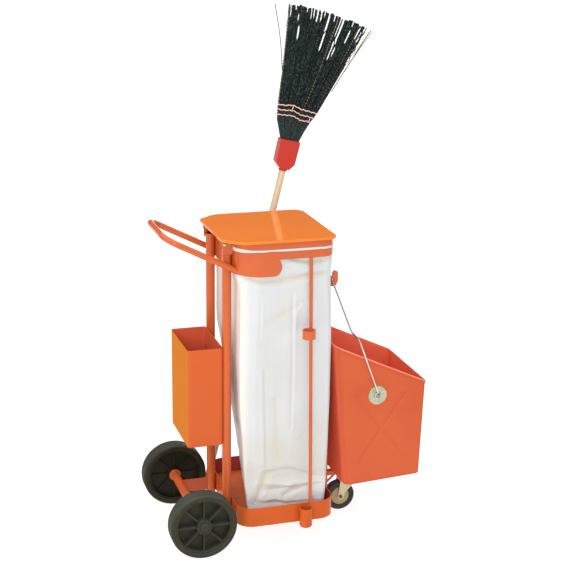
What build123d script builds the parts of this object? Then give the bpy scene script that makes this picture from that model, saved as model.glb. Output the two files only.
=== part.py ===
from build123d import *
import math
import os

os.makedirs("parts", exist_ok=True)

# ---------------------------------------------------------------------------
# Driving sizes, mm.  Working axes: x = 0 on the rear axle, +X to the front,
# +Y to the cart's left, z = 0 on the ground.  X_MID moves everything so that
# the middle of the overall length sits on x = 0.
# ---------------------------------------------------------------------------
X_MID = 304.23

WHEEL_R = 100.0          # rear wheel
WHEEL_IN = 32.0          # tyre width inwards of the middle plane; 20 outwards of it
WHEEL_Y = 196.0          # middle plane of each rear wheel
SHAFT_R = 10.0
RUN = 0.05               # radial running clearance

POST_X, POST_Y = 98.5, 94.0
POST_R, POST_T = 13.5, 2.0
POST_Z0, POST_Z1 = 71.0, 902.0

TRAY_X0, TRAY_X1 = 111.8, 411.0
TRAY_W = 195.0           # half width
TRAY_Z0, TRAY_Z1 = 71.0, 129.0
TRAY_R, TRAY_T = 50.0, 2.5
FLOOR_Z0, FLOOR_Z1 = 76.0, 79.0

HOOP_X0, HOOP_X1 = 111.8, 403.0
HOOP_W = 175.0           # half width
HOOP_CUT = 51.0          # 45 degree rear corners
HOOP_T = 3.0
HOOP_Z0, HOOP_ZS, HOOP_Z1 = 833.0, 881.5, 906.0
HEM_Z0, HEM_Z1 = 906.0, 911.6
RING_Z0, RING_Z1 = 912.0, 934.0

LID_X0, LID_X1 = 74.2, 408.7
LID_W = 179.6
LID_Z0, LID_Z1 = 931.0, 938.0
LID_T = 1.6

HINGE_X, HINGE_Z = 88.5, 918.5

HANDLE_R, HANDLE_T = 9.0, 1.8
HANDLE_Y = 120.0
HANDLE_X = -85.0
HANDLE_SLOPE, HANDLE_Z = -0.51, 904.0    # z = HANDLE_Z + slope * x
HANDLE_BEND = 45.0

ROD_R = 5.0
SIDE_ROD_TOP, SIDE_ROD_BOT = 326.5, 330.0
BACK_ROD_TOP, BACK_ROD_BOT = 268.0, 272.0
FRONT_ROD_Y = 104.0

TOOL_X, TOOL_Y = 310.8, -213.2
TOOL_RI, TOOL_RO = 16.0, 19.0
TOOL_RING_Z0, TOOL_RING_Z1 = 653.0, 678.0
CUP_Z0, CUP_Z1 = 62.0, 122.0

BIN_X0, BIN_X1 = -22.0, 85.2
BIN_W = 107.0
BIN_Z0, BIN_Z1 = 306.0, 608.0
BIN_T = 2.0

CASTOR_X, CASTOR_R = 490.5, 47.5
SWIVEL_X = 518.0
ARM_Z0, ARM_Z1, ARM_W = 119.0, 135.0, 20.0
ARM_X1 = 552.0

BAR_X, BAR_Z = 411.2, 792.95     # bail cross bar
WIRE_R = 2.5
PIVOT_X, PIVOT_Z = 550.4, 432.6  # pan pivot
BAIL_Y0, BAIL_Y1 = 115.0, 159.0

PAN_W = 154.0                    # half width
PAN_T = 2.0
PAN_RB = (452.0, 145.5)          # rear bottom
PAN_FB = (696.0, 158.5)          # front bottom
PAN_RT = (413.6, 599.0)          # rear top
PAN_FT = (706.5, 463.5)          # front top
PAN_RR, PAN_RF = 26.0, 10.0        # upright corners at the rear and at the front
PAN_LIP, PAN_LIP_H = 2.0, 8.0

STICK_R = 10.5
STICK_A = (115.0, 213.0, 45.0)   # point on the stick's axis
STICK_B = (356.1, 205.0, 1058.0)
SOCKET_X, SOCKET_Y = 118.0, 213.0

# ---------------------------------------------------------------------------
# helpers
# ---------------------------------------------------------------------------


def save(name, shape):
    export_step(Pos(-X_MID, 0, 0) * shape, "parts/" + name + ".step")


def both(shape):
    return shape + mirror(shape, about=Plane.XZ)


def corner_ends(pts, closed):
    ends = []
    n = len(pts)
    for i, q in enumerate(pts):
        p = Vector(*q[:3])
        r = q[3]
        if r <= 0 or (not closed and i in (0, n - 1)):
            ends.append((p, None, p))
            continue
        a = Vector(*pts[i - 1][:3])
        b = Vector(*pts[(i + 1) % n][:3])
        u = (a - p).normalized()
        v = (b - p).normalized()
        ang = math.acos(max(-1.0, min(1.0, u.dot(v))))
        t = r / math.tan(ang / 2)
        c = p + (u + v).normalized() * (r / math.sin(ang / 2))
        ends.append((p + u * t, c + (p - c).normalized() * r, p + v * t))
    return ends


def corner_edges(pts, closed):
    ends = corner_ends(pts, closed)
    n = len(ends)
    edges = []
    for i in range(n):
        s, m, e = ends[i]
        if m is not None:
            edges.append(ThreePointArc(s, m, e))
        if not closed and i == n - 1:
            break
        nxt = ends[(i + 1) % n][0]
        if (nxt - e).length > 1e-6:
            edges.append(Line(e, nxt))
    return edges


def rpoly(pts):
    return make_face(corner_edges([(x, y, 0, r) for x, y, r in pts], True))


def rpath(pts):
    w = Wire(corner_edges(pts, False))
    return w


def inset(pts, d):
    # convex outline given counter-clockwise, moved inwards by d
    n = len(pts)
    out = []
    for i in range(n):
        p = pts[i]
        a, b = pts[i - 1], pts[(i + 1) % n]
        u = Vector(p[0] - a[0], p[1] - a[1]).normalized()
        v = Vector(b[0] - p[0], b[1] - p[1]).normalized()
        nu = Vector(-u.Y, u.X)
        nv = Vector(-v.Y, v.X)
        m = nu + nv
        k = d / (1 + nu.dot(nv))
        out.append((p[0] + m.X * k, p[1] + m.Y * k, max(p[2] - d, 0.8) if p[2] > 0 else 0))
    return out


def slab(face, z0, z1):
    return Pos(0, 0, z0) * extrude(face, amount=z1 - z0, dir=(0, 0, 1))


def plate_xz(face, y0, y1):
    pl = Plane(origin=(0, y0, 0), x_dir=(1, 0, 0), z_dir=(0, -1, 0))
    return extrude(pl * face, amount=y1 - y0, dir=(0, 1, 0))


def box(x0, x1, y0, y1, z0, z1):
    return Pos((x0 + x1) / 2, (y0 + y1) / 2, (z0 + z1) / 2) * Box(x1 - x0, y1 - y0, z1 - z0)


def cyl(p, q, r):
    v = Vector(*q) - Vector(*p)
    pl = Plane(origin=p, z_dir=v)
    return pl * Cylinder(r, v.length, align=(Align.CENTER, Align.CENTER, Align.MIN))


def cyl_y(x, z, y0, y1, r):
    return cyl((x, min(y0, y1), z), (x, max(y0, y1), z), r)


def turned(pts):
    # profile in (radius, height along Y), turned about the Y axis
    return revolve(rpoly(pts), axis=Axis.Y, revolution_arc=360)


def hexbar(x, z, y0, y1, af):
    pl = Plane(origin=(x, min(y0, y1), z), x_dir=(1, 0, 0), z_dir=(0, 1, 0))
    return extrude(pl * RegularPolygon(af / 2, 6, major_radius=False), amount=abs(y1 - y0))


# ---------------------------------------------------------------------------
# outlines
# ---------------------------------------------------------------------------
HOOP_OUT = [
    (HOOP_X0, HOOP_W - HOOP_CUT, 75), (HOOP_X0, -HOOP_W + HOOP_CUT, 75),
    (HOOP_X0 + HOOP_CUT, -HOOP_W, 75), (HOOP_X1, -HOOP_W, 42),
    (HOOP_X1, HOOP_W, 42), (HOOP_X0 + HOOP_CUT, HOOP_W, 75),
]
TRAY_OUT = [
    (TRAY_X0, -TRAY_W, TRAY_R), (TRAY_X1, -TRAY_W, TRAY_R),
    (TRAY_X1, TRAY_W, TRAY_R), (TRAY_X0, TRAY_W, TRAY_R),
]
LID_OUT = [
    (LID_X0, 131.5, 14), (LID_X0, -131.5, 14), (128.6, -LID_W, 60), (LID_X1, -LID_W, 35),
    (LID_X1, LID_W, 35), (128.6, LID_W, 60),
]

hoop_fill = slab(rpoly(HOOP_OUT), 780, 960)
tray_fill = slab(rpoly(TRAY_OUT), 20, 200)
posts_fill = both(cyl((POST_X, POST_Y, POST_Z0), (POST_X, POST_Y, POST_Z1), POST_R))
axle_fill = cyl_y(0, WHEEL_R, -167, 167, 13.5)

# ---------------------------------------------------------------------------
# rear posts, plugs
# ---------------------------------------------------------------------------
BIN_BOLT_Y = 91.0
BIN_BOLT_Z = (362.0, 556.0)


def post(s):
    p = cyl((POST_X, s * POST_Y, POST_Z0), (POST_X, s * POST_Y, POST_Z1), POST_R)
    p -= cyl((POST_X, s * POST_Y, POST_Z0 - 1), (POST_X, s * POST_Y, POST_Z1 + 1), POST_R - POST_T)
    for z in BIN_BOLT_Z:
        p -= cyl((80, s * BIN_BOLT_Y, z), (95, s * BIN_BOLT_Y, z), 3.0)
    return p


save("post_right", post(-1))
save("post_left", post(1))

top_plug = Pos(POST_X, POST_Y, POST_Z1) * Cylinder(POST_R - 0.2, 2.4, align=(Align.CENTER, Align.CENTER, Align.MIN))
top_plug = fillet(top_plug.edges().group_by(Axis.Z)[-1], 1.6)
top_plug += cyl((POST_X, POST_Y, POST_Z1 - 12), (POST_X, POST_Y, POST_Z1), POST_R - POST_T)
low_plug = cyl((POST_X, POST_Y, POST_Z0 - 3), (POST_X, POST_Y, POST_Z0), POST_R - 0.2)
low_plug += cyl((POST_X, POST_Y, POST_Z0), (POST_X, POST_Y, POST_Z0 + 12), POST_R - POST_T)
save("post_plugs", both(top_plug) + both(low_plug))

# ---------------------------------------------------------------------------
# bag hoop, push handle
# ---------------------------------------------------------------------------
hoop = slab(rpoly(HOOP_OUT), HOOP_Z0, HOOP_Z1) - slab(rpoly(inset(HOOP_OUT, HOOP_T)), HOOP_Z0 - 1, HOOP_Z1 + 1)
step_face = make_face([
    Line((222, HOOP_Z0 - 5), (222, HOOP_Z0)),
    ThreePointArc((222, HOOP_Z0), (239.5, 857), (229, HOOP_ZS)),
    Line((229, HOOP_ZS), (440, HOOP_ZS)),
    Line((440, HOOP_ZS), (440, HOOP_Z0 - 5)),
    Line((440, HOOP_Z0 - 5), (222, HOOP_Z0 - 5)),
])
hoop -= plate_xz(step_face, -200, 200)
hoop -= posts_fill
save("bag_hoop", hoop)


def handle_z(x):
    return HANDLE_Z + HANDLE_SLOPE * x


h_in = 142.0
handle_pts = [
    (h_in, -HANDLE_Y, handle_z(h_in), 0), (HANDLE_X, -HANDLE_Y, handle_z(HANDLE_X), HANDLE_BEND),
    (HANDLE_X, HANDLE_Y, handle_z(HANDLE_X), HANDLE_BEND), (h_in, HANDLE_Y, handle_z(h_in), 0),
]
h_path = rpath(handle_pts)
h_plane = Plane(origin=h_path @ 0, z_dir=h_path % 0)
handle = sweep(h_plane * (Circle(HANDLE_R) - Circle(HANDLE_R - HANDLE_T)), path=h_path)
handle -= hoop_fill
save("push_handle", handle)

# ---------------------------------------------------------------------------
# hinge: ears outside the posts, bolts, nuts
# ---------------------------------------------------------------------------
EAR_Y0, EAR_Y1 = 107.3, 111.3
LIDTAB_Y0, LIDTAB_Y1 = 103.6, 106.9
RINGTAB_Y0, RINGTAB_Y1 = 99.9, 103.2

ear = plate_xz(rpoly([(82.5, 889, 6), (112.2, 889, 5), (112.2, 905, 2), (107, 909, 2), (107, 930, 9), (82.5, 930, 5)]), EAR_Y0, EAR_Y1)
ear -= cyl_y(HINGE_X, HINGE_Z, EAR_Y0 - 1, EAR_Y1 + 1, 3.0)
ear -= posts_fill
save("hinge_ears", both(ear))

h_bolt = cyl_y(HINGE_X, HINGE_Z, 95.0, EAR_Y1, 3.0)
h_head = Pos(HINGE_X, EAR_Y1, HINGE_Z) * turned([(0, 0, 0), (6.5, 0, 0), (6.5, 1.2, 0), (4.6, 3.6, 1.5), (0, 4.2, 0)])
save("hinge_bolts", both(h_bolt + h_head))
h_nut = hexbar(HINGE_X, HINGE_Z, 95.4, 99.5, 10.0) - cyl_y(HINGE_X, HINGE_Z, 94, 101, 3.0)
save("hinge_nuts", both(h_nut))

# ---------------------------------------------------------------------------
# clamp ring and lid
# ---------------------------------------------------------------------------
ring = slab(rpoly(HOOP_OUT), RING_Z0, RING_Z1) - slab(rpoly(inset(HOOP_OUT, HOOP_T)), RING_Z0 - 1, RING_Z1 + 1)
ring_tab = plate_xz(rpoly([(HINGE_X - 9, HINGE_Z - 9, 8.5), (HINGE_X + 8, HINGE_Z - 9, 3), (104, 916, 3), (HOOP_X0 + 2.0, 916, 0),
                           (HOOP_X0 + 2.0, 931, 0), (HINGE_X - 9, HINGE_Z + 10, 8.5)]), RINGTAB_Y0, RINGTAB_Y1)
ring_tab -= cyl_y(HINGE_X, HINGE_Z, RINGTAB_Y0 - 1, RINGTAB_Y1 + 1, 3.0 + RUN)
save("clamp_ring", ring + both(ring_tab))

lid = slab(rpoly(LID_OUT), LID_Z0, LID_Z1)
lid = fillet(lid.edges().group_by(Axis.Z)[-1], 2.4)
lid -= slab(rpoly(inset(LID_OUT, LID_T)), LID_Z0 - 1, LID_Z1 - LID_T)
save("lid", lid)
lid_tab = plate_xz(rpoly([(HINGE_X - 9, HINGE_Z - 9, 8.5), (HINGE_X + 9, HINGE_Z - 9, 8.5), (HINGE_X + 22, LID_Z1 - LID_T, 0),
                          (HINGE_X - 9, LID_Z1 - LID_T, 0)]), LIDTAB_Y0, LIDTAB_Y1)
lid_tab -= cyl_y(HINGE_X, HINGE_Z, LIDTAB_Y0 - 1, LIDTAB_Y1 + 1, 3.0 + RUN)
save("lid_tabs", both(lid_tab))

# ---------------------------------------------------------------------------
# base tray, floor, rods
# ---------------------------------------------------------------------------
tray = slab(rpoly(TRAY_OUT), TRAY_Z0, TRAY_Z1) - slab(rpoly(inset(TRAY_OUT, TRAY_T)), TRAY_Z0 - 1, TRAY_Z1 + 1)
tray -= posts_fill
save("base_tray", tray)
floor_in = inset(TRAY_OUT, TRAY_T)
save("tray_floor", slab(rpoly(floor_in), FLOOR_Z0, FLOOR_Z1))

HW = HOOP_W - HOOP_T / 2
TW = TRAY_W - TRAY_T / 2


def rod_axis(top, bot, z):
    t = (HOOP_ZS - z) / (HOOP_ZS - TRAY_Z1)
    return tuple(a + (b - a) * t for a, b in zip(top, bot))


def rod(top, bot):
    p = rod_axis(top, bot, HOOP_ZS + 30)
    q = rod_axis(top, bot, TRAY_Z1 - 30)
    c = cyl((p[0], p[1], HOOP_ZS + 30), (q[0], q[1], TRAY_Z1 - 30), ROD_R)
    return c & box(0, 600, -400, 400, TRAY_Z1, HOOP_ZS)


RS_T, RS_B = (SIDE_ROD_TOP, -HW), (SIDE_ROD_BOT, -TW)
LS_T, LS_B = (BACK_ROD_TOP, HW), (BACK_ROD_BOT, TW)
FX_T, FX_B = HOOP_X1 - HOOP_T / 2, TRAY_X1 - TRAY_T / 2
rod_right = rod(RS_T, RS_B)
rod_left = rod(LS_T, LS_B)
front_right = rod((FX_T, -FRONT_ROD_Y), (FX_B, -FRONT_ROD_Y))
front_left = rod((FX_T, FRONT_ROD_Y), (FX_B, FRONT_ROD_Y))
save("side_rod_right", rod_right)
save("side_rod_left", rod_left)
save("front_rod_right", front_right)
save("front_rod_left", front_left)

# ---------------------------------------------------------------------------
# tool rings and cups
# ---------------------------------------------------------------------------


def tool_ring(cx, cy, rod_top, rod_bot, rod_solid):
    rx, ry = rod_axis(rod_top, rod_bot, (TOOL_RING_Z0 + TOOL_RING_Z1) / 2)
    ang = math.degrees(math.atan2(ry - cy, rx - cx))
    ln = math.hypot(rx - cx, ry - cy)
    zc = (TOOL_RING_Z0 + TOOL_RING_Z1) / 2
    lug = Pos(cx, cy, zc) * Rot(0, 0, ang) * (Pos(ln / 2, 0, 0) * Box(ln, 9, 19))
    body = cyl((cx, cy, TOOL_RING_Z0), (cx, cy, TOOL_RING_Z1), TOOL_RO) + lug
    body -= cyl((cx, cy, TOOL_RING_Z0 - 5), (cx, cy, TOOL_RING_Z1 + 5), TOOL_RI)
    return body - rod_solid


save("tool_ring_right", tool_ring(TOOL_X, TOOL_Y, RS_T, RS_B, rod_right))
STICK_D = (Vector(*STICK_B) - Vector(*STICK_A)).normalized()


def stick_at(z):
    k = (z - STICK_A[2]) / STICK_D.Z
    return Vector(*STICK_A) + STICK_D * k


lr = stick_at((TOOL_RING_Z0 + TOOL_RING_Z1) / 2)
save("tool_ring_left", tool_ring(lr.X, lr.Y, LS_T, LS_B, rod_left))

cup = cyl((TOOL_X, TOOL_Y, CUP_Z0), (TOOL_X, TOOL_Y, CUP_Z1), TOOL_RO)
cup = fillet(cup.edges().group_by(Axis.Z)[0], 7.0)
cup -= cyl((TOOL_X, TOOL_Y, CUP_Z0 + 4), (TOOL_X, TOOL_Y, CUP_Z1 + 5), TOOL_RI)
cup -= tray_fill
save("tool_cup_right", cup)

socket_plate = slab(rpoly([(99.5, 172, 6), (150, 172, 6), (150, 232.2, 10), (99.5, 232.2, 10)]), 65, TRAY_Z0)
socket = socket_plate + cyl((SOCKET_X, SOCKET_Y, 30), (SOCKET_X, SOCKET_Y, 66), 18.5)
socket -= cyl((SOCKET_X, SOCKET_Y, 33), (SOCKET_X, SOCKET_Y, 90), 16.0)
save("broom_socket", socket)

# ---------------------------------------------------------------------------
# rear axle, arms, wheels
# ---------------------------------------------------------------------------
axle_tube = axle_fill - cyl_y(0, WHEEL_R, -168, 168, 10.6)
save("axle_tube", axle_tube)
flange = Pos(0, 167, WHEEL_R) * turned([(SHAFT_R, 0, 0), (18, 0, 0), (18, 4, 1.2), (SHAFT_R, 4, 0)])
save("axle_flanges", both(flange))
save("axle_shaft", cyl_y(0, WHEEL_R, -219, 219, SHAFT_R))
cap = Pos(0, 217.2, WHEEL_R) * (turned([(0, 0, 0), (14.0, 0, 0), (14.0, 2.4, 0.8), (11.0, 4.8, 1.5), (4.0, 5.2, 0.6), (3.0, 4.2, 0.5), (0, 4.2, 0)])
                              - Pos(0, -1, 0) * turned([(0, 0, 0), (SHAFT_R, 0, 0), (SHAFT_R, 2.8, 0), (0, 2.8, 0)]))
save("axle_caps", both(cap))

arm = plate_xz(rpoly([(0, 74, 0), (92, 74, 0), (92, 113.2, 0), (0, 113.2, 0)]), 91, 97)
arm -= axle_fill
arm -= posts_fill
arm -= box(-60, 0.01, 80, 110, 60, 130)
arms = both(arm)
save("axle_arms", arms)


def wheel_core():
    # built about the Y axis, outer face towards +Y
    rim = turned([(78, 3 - WHEEL_IN, 0), (84, 3 - WHEEL_IN, 0), (84, 17, 0), (78, 17, 2)])
    web = turned([(20, -9, 0), (79, -9, 0), (79, -4, 0), (20, -4, 0)])
    hub = turned([(SHAFT_R + RUN, -23.4, 0), (20, -23.4, 2), (24, 0, 0), (23, 20.6, 1.6), (SHAFT_R + RUN, 20.6, 0)])
    body = rim + web + hub
    rib = box(19, 79, -2.8, 2.8, -14.5, 14.0)
    rib = Rot(-90, 0, 0) * rib
    bore = cyl_y(0, 0, -40, 40, SHAFT_R + RUN)
    for i in range(8):
        body += Rot(0, 45 * i, 0) * rib
    return body - bore


def tyre():
    w = WHEEL_IN
    t = turned([(84, 1.8 - w, 0), (87.5, -w, 2), (100, -w, 8), (100, 20, 8), (87.5, 20, 2), (84, 18.2, 0)])
    g = turned([(90.2, 19.0, 0), (92.0, 19.0, 0), (92.0, 21, 0), (90.2, 21, 0)])
    t -= g
    t -= Pos(0, 20 - w, 0) * mirror(g, about=Plane.XZ)
    for y in (7.0, -6.0, -19.0):
        t -= Pos(0, y, 0) * turned([(98.6, -0.9, 0), (101, -0.9, 0), (101, 0.9, 0), (98.6, 0.9, 0)])
    return t


core, tyr = wheel_core(), tyre()
save("wheel_core_left", Pos(0, WHEEL_Y, WHEEL_R) * core)
save("wheel_tyre_left", Pos(0, WHEEL_Y, WHEEL_R) * tyr)
save("wheel_core_right", Pos(0, -WHEEL_Y, WHEEL_R) * mirror(core, about=Plane.XZ))
save("wheel_tyre_right", Pos(0, -WHEEL_Y, WHEEL_R) * mirror(tyr, about=Plane.XZ))

# ---------------------------------------------------------------------------
# front castor
# ---------------------------------------------------------------------------
BOLT_X = (494.0, 542.0)
c_arm = box(TRAY_X1 - 4, ARM_X1, -ARM_W / 2, ARM_W / 2, ARM_Z0, ARM_Z1)
c_arm = fillet(c_arm.edges().filter_by(Axis.X), 2.5)
for bx in BOLT_X:
    c_arm -= cyl((bx, 0, 110), (bx, 0, 150), 4.0)
c_arm -= tray_fill
save("castor_arm", c_arm)
st_path = rpath([(TRAY_X1 - 6, 0, 76.5, 0), (429.5, 0, 76.5, 16), (482.5, 0, 125.5, 0)])
strut = sweep(Plane(origin=st_path @ 0, z_dir=st_path % 0) * Circle(3.5), path=st_path)
strut -= tray_fill
strut -= box(400, 560, -20, 20, ARM_Z0, 160)
save("castor_strut", strut)

c_plate = slab(rpoly([(485, -22, 6), (551, -22, 6), (551, 22, 6), (485, 22, 6)]), 114, ARM_Z0)
for bx in BOLT_X:
    c_plate -= cyl((bx, 0, 110), (bx, 0, 150), 4.0)
c_plate -= cyl((SWIVEL_X, 0, 100), (SWIVEL_X, 0, 130), 6.0)
save("castor_plate", c_plate)


def hex_z(x, z0, z1, af):
    return Pos(x, 0, z0) * extrude(RegularPolygon(af / 2, 6, major_radius=False), amount=z1 - z0)


c_bolts = None
for bx in BOLT_X:
    b = hex_z(bx, 109.4, 114, 11.0) + cyl((bx, 0, 114), (bx, 0, 142), 4.0)
    c_bolts = b if c_bolts is None else c_bolts + b
save("castor_bolts", c_bolts)
c_nuts = None
for bx in BOLT_X:
    b = hex_z(bx, ARM_Z1, ARM_Z1 + 5.5, 12.0) - cyl((bx, 0, 110), (bx, 0, 150), 4.0)
    c_nuts = b if c_nuts is None else c_nuts + b
save("castor_nuts", c_nuts)
race = cyl((SWIVEL_X, 0, 108.2), (SWIVEL_X, 0, 114), 17.0) - cyl((SWIVEL_X, 0, 100), (SWIVEL_X, 0, 120), 6.0)
save("castor_race", race)
kingpin = cyl((SWIVEL_X, 0, 99.5), (SWIVEL_X, 0, 119), 6.0) + cyl((SWIVEL_X, 0, 95.4), (SWIVEL_X, 0, 99.5), 10.0)
save("castor_kingpin", kingpin)

fork_top = slab(rpoly([(487, -21, 5), (546, -21, 14), (546, 21, 14), (487, 21, 5)]), 100, 104)
fork_top += cyl((SWIVEL_X, 0, 103), (SWIVEL_X, 0, 107.8), 14.0)
fork_leg = plate_xz(rpoly([(489, 102, 0), (480.2, 36.5, 9.5), (500.8, 36.5, 9.5), (505, 60, 10), (532, 87, 8), (540, 102, 0)]), 17, 20)
fork_leg -= cyl_y(CASTOR_X, CASTOR_R, 10, 30, 4.0)
fork = fork_top + both(fork_leg)
fork -= cyl((SWIVEL_X, 0, 80), (SWIVEL_X, 0, 120), 6.0 + RUN)
save("castor_fork", fork)
c_axle = cyl_y(CASTOR_X, CASTOR_R, -20, 24.5, 4.0) + hexbar(CASTOR_X, CASTOR_R, -23.5, -20, 10.0)
save("castor_axle", c_axle)
c_nut = hexbar(CASTOR_X, CASTOR_R, 20, 24, 11.0) - cyl_y(CASTOR_X, CASTOR_R, 10, 40, 4.0)
save("castor_axle_nut", c_nut)

c_core = turned([(4.0 + RUN, -16.2, 0), (9, -16.2, 1), (10, -14.0, 0.8), (25.5, -12.6, 1.2), (27.5, -13.4, 0.6), (29, -12.6, 0), (29, 12.6, 0), (27.5, 13.4, 0.6),
                 (25.5, 12.6, 1.2), (10, 14.0, 0.8), (9, 16.2, 1), (4.0 + RUN, 16.2, 0)])
save("castor_wheel_core", Pos(CASTOR_X, 0, CASTOR_R) * c_core)
c_tyre = turned([(29, -12.6, 0), (33, -14, 2), (42.5, -14, 3), (47.5, -11, 4), (47.5, 11, 4), (42.5, 14, 3), (33, 14, 2), (29, 12.6, 0)])
for y in (-8.0, -4.0, 0.0, 4.0, 8.0):
    c_tyre -= Pos(0, y, 0) * turned([(46.4, -0.6, 0), (48.5, -0.6, 0), (48.5, 0.6, 0), (46.4, 0.6, 0)])
save("castor_tyre", Pos(CASTOR_X, 0, CASTOR_R) * c_tyre)

# ---------------------------------------------------------------------------
# tool bin on the rear of the posts
# ---------------------------------------------------------------------------
BIN_OUT = [(BIN_X0, -BIN_W, 10), (BIN_X1, -BIN_W, 10), (BIN_X1, BIN_W, 10), (BIN_X0, BIN_W, 10)]
bin_box = slab(rpoly(BIN_OUT), BIN_Z0, BIN_Z1)
bin_box = fillet(bin_box.edges().group_by(Axis.Z)[0], 3.0)
bin_box -= slab(rpoly(inset(BIN_OUT, BIN_T)), BIN_Z0 + BIN_T, BIN_Z1 + 5)
bin_box -= posts_fill
for s in (-1, 1):
    for z in BIN_BOLT_Z:
        bin_box -= cyl((75, s * BIN_BOLT_Y, z), (95, s * BIN_BOLT_Y, z), 3.0)
save("tool_bin", bin_box)
b_bolts = None
for s in (-1, 1):
    for z in BIN_BOLT_Z:
        head = turned([(0, 0, 0), (5.5, 0, 0), (5.5, 1.0, 0), (4.0, 2.8, 1.2), (0, 3.4, 0)])
        b = Pos(BIN_X1 - BIN_T, s * BIN_BOLT_Y, z) * Rot(0, 0, 90) * head + cyl((BIN_X1 - BIN_T, s * BIN_BOLT_Y, z), (92, s * BIN_BOLT_Y, z), 3.0)
        b_bolts = b if b_bolts is None else b_bolts + b
save("bin_bolts", b_bolts)

# ---------------------------------------------------------------------------
# bag: shell with a folded hem lying on the hoop
# ---------------------------------------------------------------------------


# outline corners at each height: far rear, near rear, near rear chamfer end, near front, far front, far rear chamfer end
BAG_RIM = [(116.5, 121.5, 68), (116.5, -121.5, 68), (163.5, -168, 68), (396, -168, 38), (396, 168, 38), (163.5, 168, 68)]
BAG = [
    (FLOOR_Z1, [(207, 104, 10), (155, -134, 10), (176, -146, 14), (396, -147, 16), (389, 132, 34), (217, 130, 14)]),
    (130, [(198, 106, 10), (149, -137, 8), (172, -153, 16), (398, -154, 16), (392, 142, 34), (206, 138, 14)]),
    (250, [(180, 107, 10), (137, -139, 8), (166, -160, 18), (399, -160, 18), (395, 150, 34), (190, 146, 14)]),
    (430, [(153, 107, 10), (126, -138, 8), (162, -165, 20), (400, -165, 22), (397, 158, 36), (166, 153, 14)]),
    (640, [(119, 114, 12), (126, -137, 8), (163, -168, 24), (398.5, -168, 28), (397.5, 164, 38), (150, 160, 20)]),
    (800, [(118, 116, 14), (127, -134, 12), (165, -168, 26), (396, -168, 36), (396, 168, 40), (165, 168, 30)]),
    (836, BAG_RIM),
    (HEM_Z0 + 2, BAG_RIM),
]


def bag_solid(d, z_low, z_top):
    faces = []
    for i, (z, pts) in enumerate(BAG):
        zz = z_low if i == 0 else z_top if i == len(BAG) - 1 else z
        faces.append(Pos(0, 0, zz) * rpoly(inset(pts, d) if d else pts))
    return loft(faces, ruled=True)


bag = bag_solid(0, FLOOR_Z1, HEM_Z0 + 2)
hem_out = inset(HOOP_OUT, -1.0)
bag += slab(rpoly(hem_out), HEM_Z0, HEM_Z1)
bag -= bag_solid(1.0, FLOOR_Z1 + 1.0, HEM_Z1 + 4)
save("trash_bag", bag)

# ---------------------------------------------------------------------------
# hooks, bail, pan
# ---------------------------------------------------------------------------
hook_face = rpoly([(400, 770, 0), (425.5, 770, 2), (433, 783, 2), (433, 817, 8.2), (415.6, 817, 8.2), (415.6, 790.4, 1.5), (400, 790.4, 0)])
hooks = plate_xz(hook_face, 101.5, 106.5) - front_left
hooks -= box(380, 402.4, 90, 120, 750, 830)
save("bail_hooks", both(hooks))

grip = cyl_y(BAR_X, BAR_Z, -92, 92, 8.0)
grip = fillet(grip.edges(), 2.0)
grip -= cyl_y(BAR_X, BAR_Z, -100, 100, WIRE_R + RUN)
save("bail_grip", grip)

bx, bz = PIVOT_X - BAR_X, PIVOT_Z - BAR_Z
bl = math.hypot(bx, bz)
ux, uz = bx / bl, bz / bl
EYE_R, EYE_O = 8.5, 3.0
EYE_S = math.sqrt(EYE_R ** 2 - EYE_O ** 2)


def bail_pt(s, y, r, o=0.0):
    # s along the line from the bar to the pivot, o square to it towards the front
    return (BAR_X + ux * s - uz * o, y, BAR_Z + uz * s + ux * o, r)


b_pts = [
    bail_pt(bl - EYE_S, -BAIL_Y1, 0, EYE_O), bail_pt(193, -BAIL_Y1, 8, 4.5), bail_pt(179, -BAIL_Y0, 8, 1.0), bail_pt(0, -BAIL_Y0, 7.5),
    bail_pt(0, BAIL_Y0, 7.5), bail_pt(179, BAIL_Y0, 8, 1.0), bail_pt(193, BAIL_Y1, 8, 4.5), bail_pt(bl - EYE_S, BAIL_Y1, 0, EYE_O),
]
b_path = rpath(b_pts)
wire = sweep(Plane(origin=b_path @ 0, z_dir=b_path % 0) * Circle(WIRE_R), path=b_path)
for s in (-1, 1):
    wire += Pos(PIVOT_X, s * BAIL_Y1, PIVOT_Z) * Rot(90, 0, 0) * Torus(EYE_R, WIRE_R)
save("bail_wire", wire)


def pan_x(z, lo, hi):
    return lo[0] + (hi[0] - lo[0]) * (z - lo[1]) / (hi[1] - lo[1])


def pan_loft(d):
    faces = []
    for z in (120.0, 660.0):
        x0, x1 = pan_x(z, PAN_RB, PAN_RT) + d, pan_x(z, PAN_FB, PAN_FT) - d
        w, rr, rf = PAN_W - d, PAN_RR - d, PAN_RF - d
        faces.append(Pos(0, 0, z) * rpoly([(x0, -w, rr), (x1, -w, rf), (x1, w, rf), (x0, w, rr)]))
    return loft(faces, ruled=True)


def line_z(a, b, x):
    return a[1] + (b[1] - a[1]) * (x - a[0]) / (b[0] - a[0])


def pan_slab(low, high):
    # between the bottom plane moved up by low and the rim plane moved up by high
    return plate_xz(make_face(Polyline((380, line_z(PAN_RB, PAN_FB, 380) + low), (760, line_z(PAN_RB, PAN_FB, 760) + low),
                                       (760, line_z(PAN_RT, PAN_FT, 760) + high), (380, line_z(PAN_RT, PAN_FT, 380) + high), close=True)), -220, 220)


def pan_rim(low, high):
    return plate_xz(make_face(Polyline((380, line_z(PAN_RT, PAN_FT, 380) + low), (760, line_z(PAN_RT, PAN_FT, 760) + low),
                                       (760, line_z(PAN_RT, PAN_FT, 760) + high), (380, line_z(PAN_RT, PAN_FT, 380) + high), close=True)), -220, 220)


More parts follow.
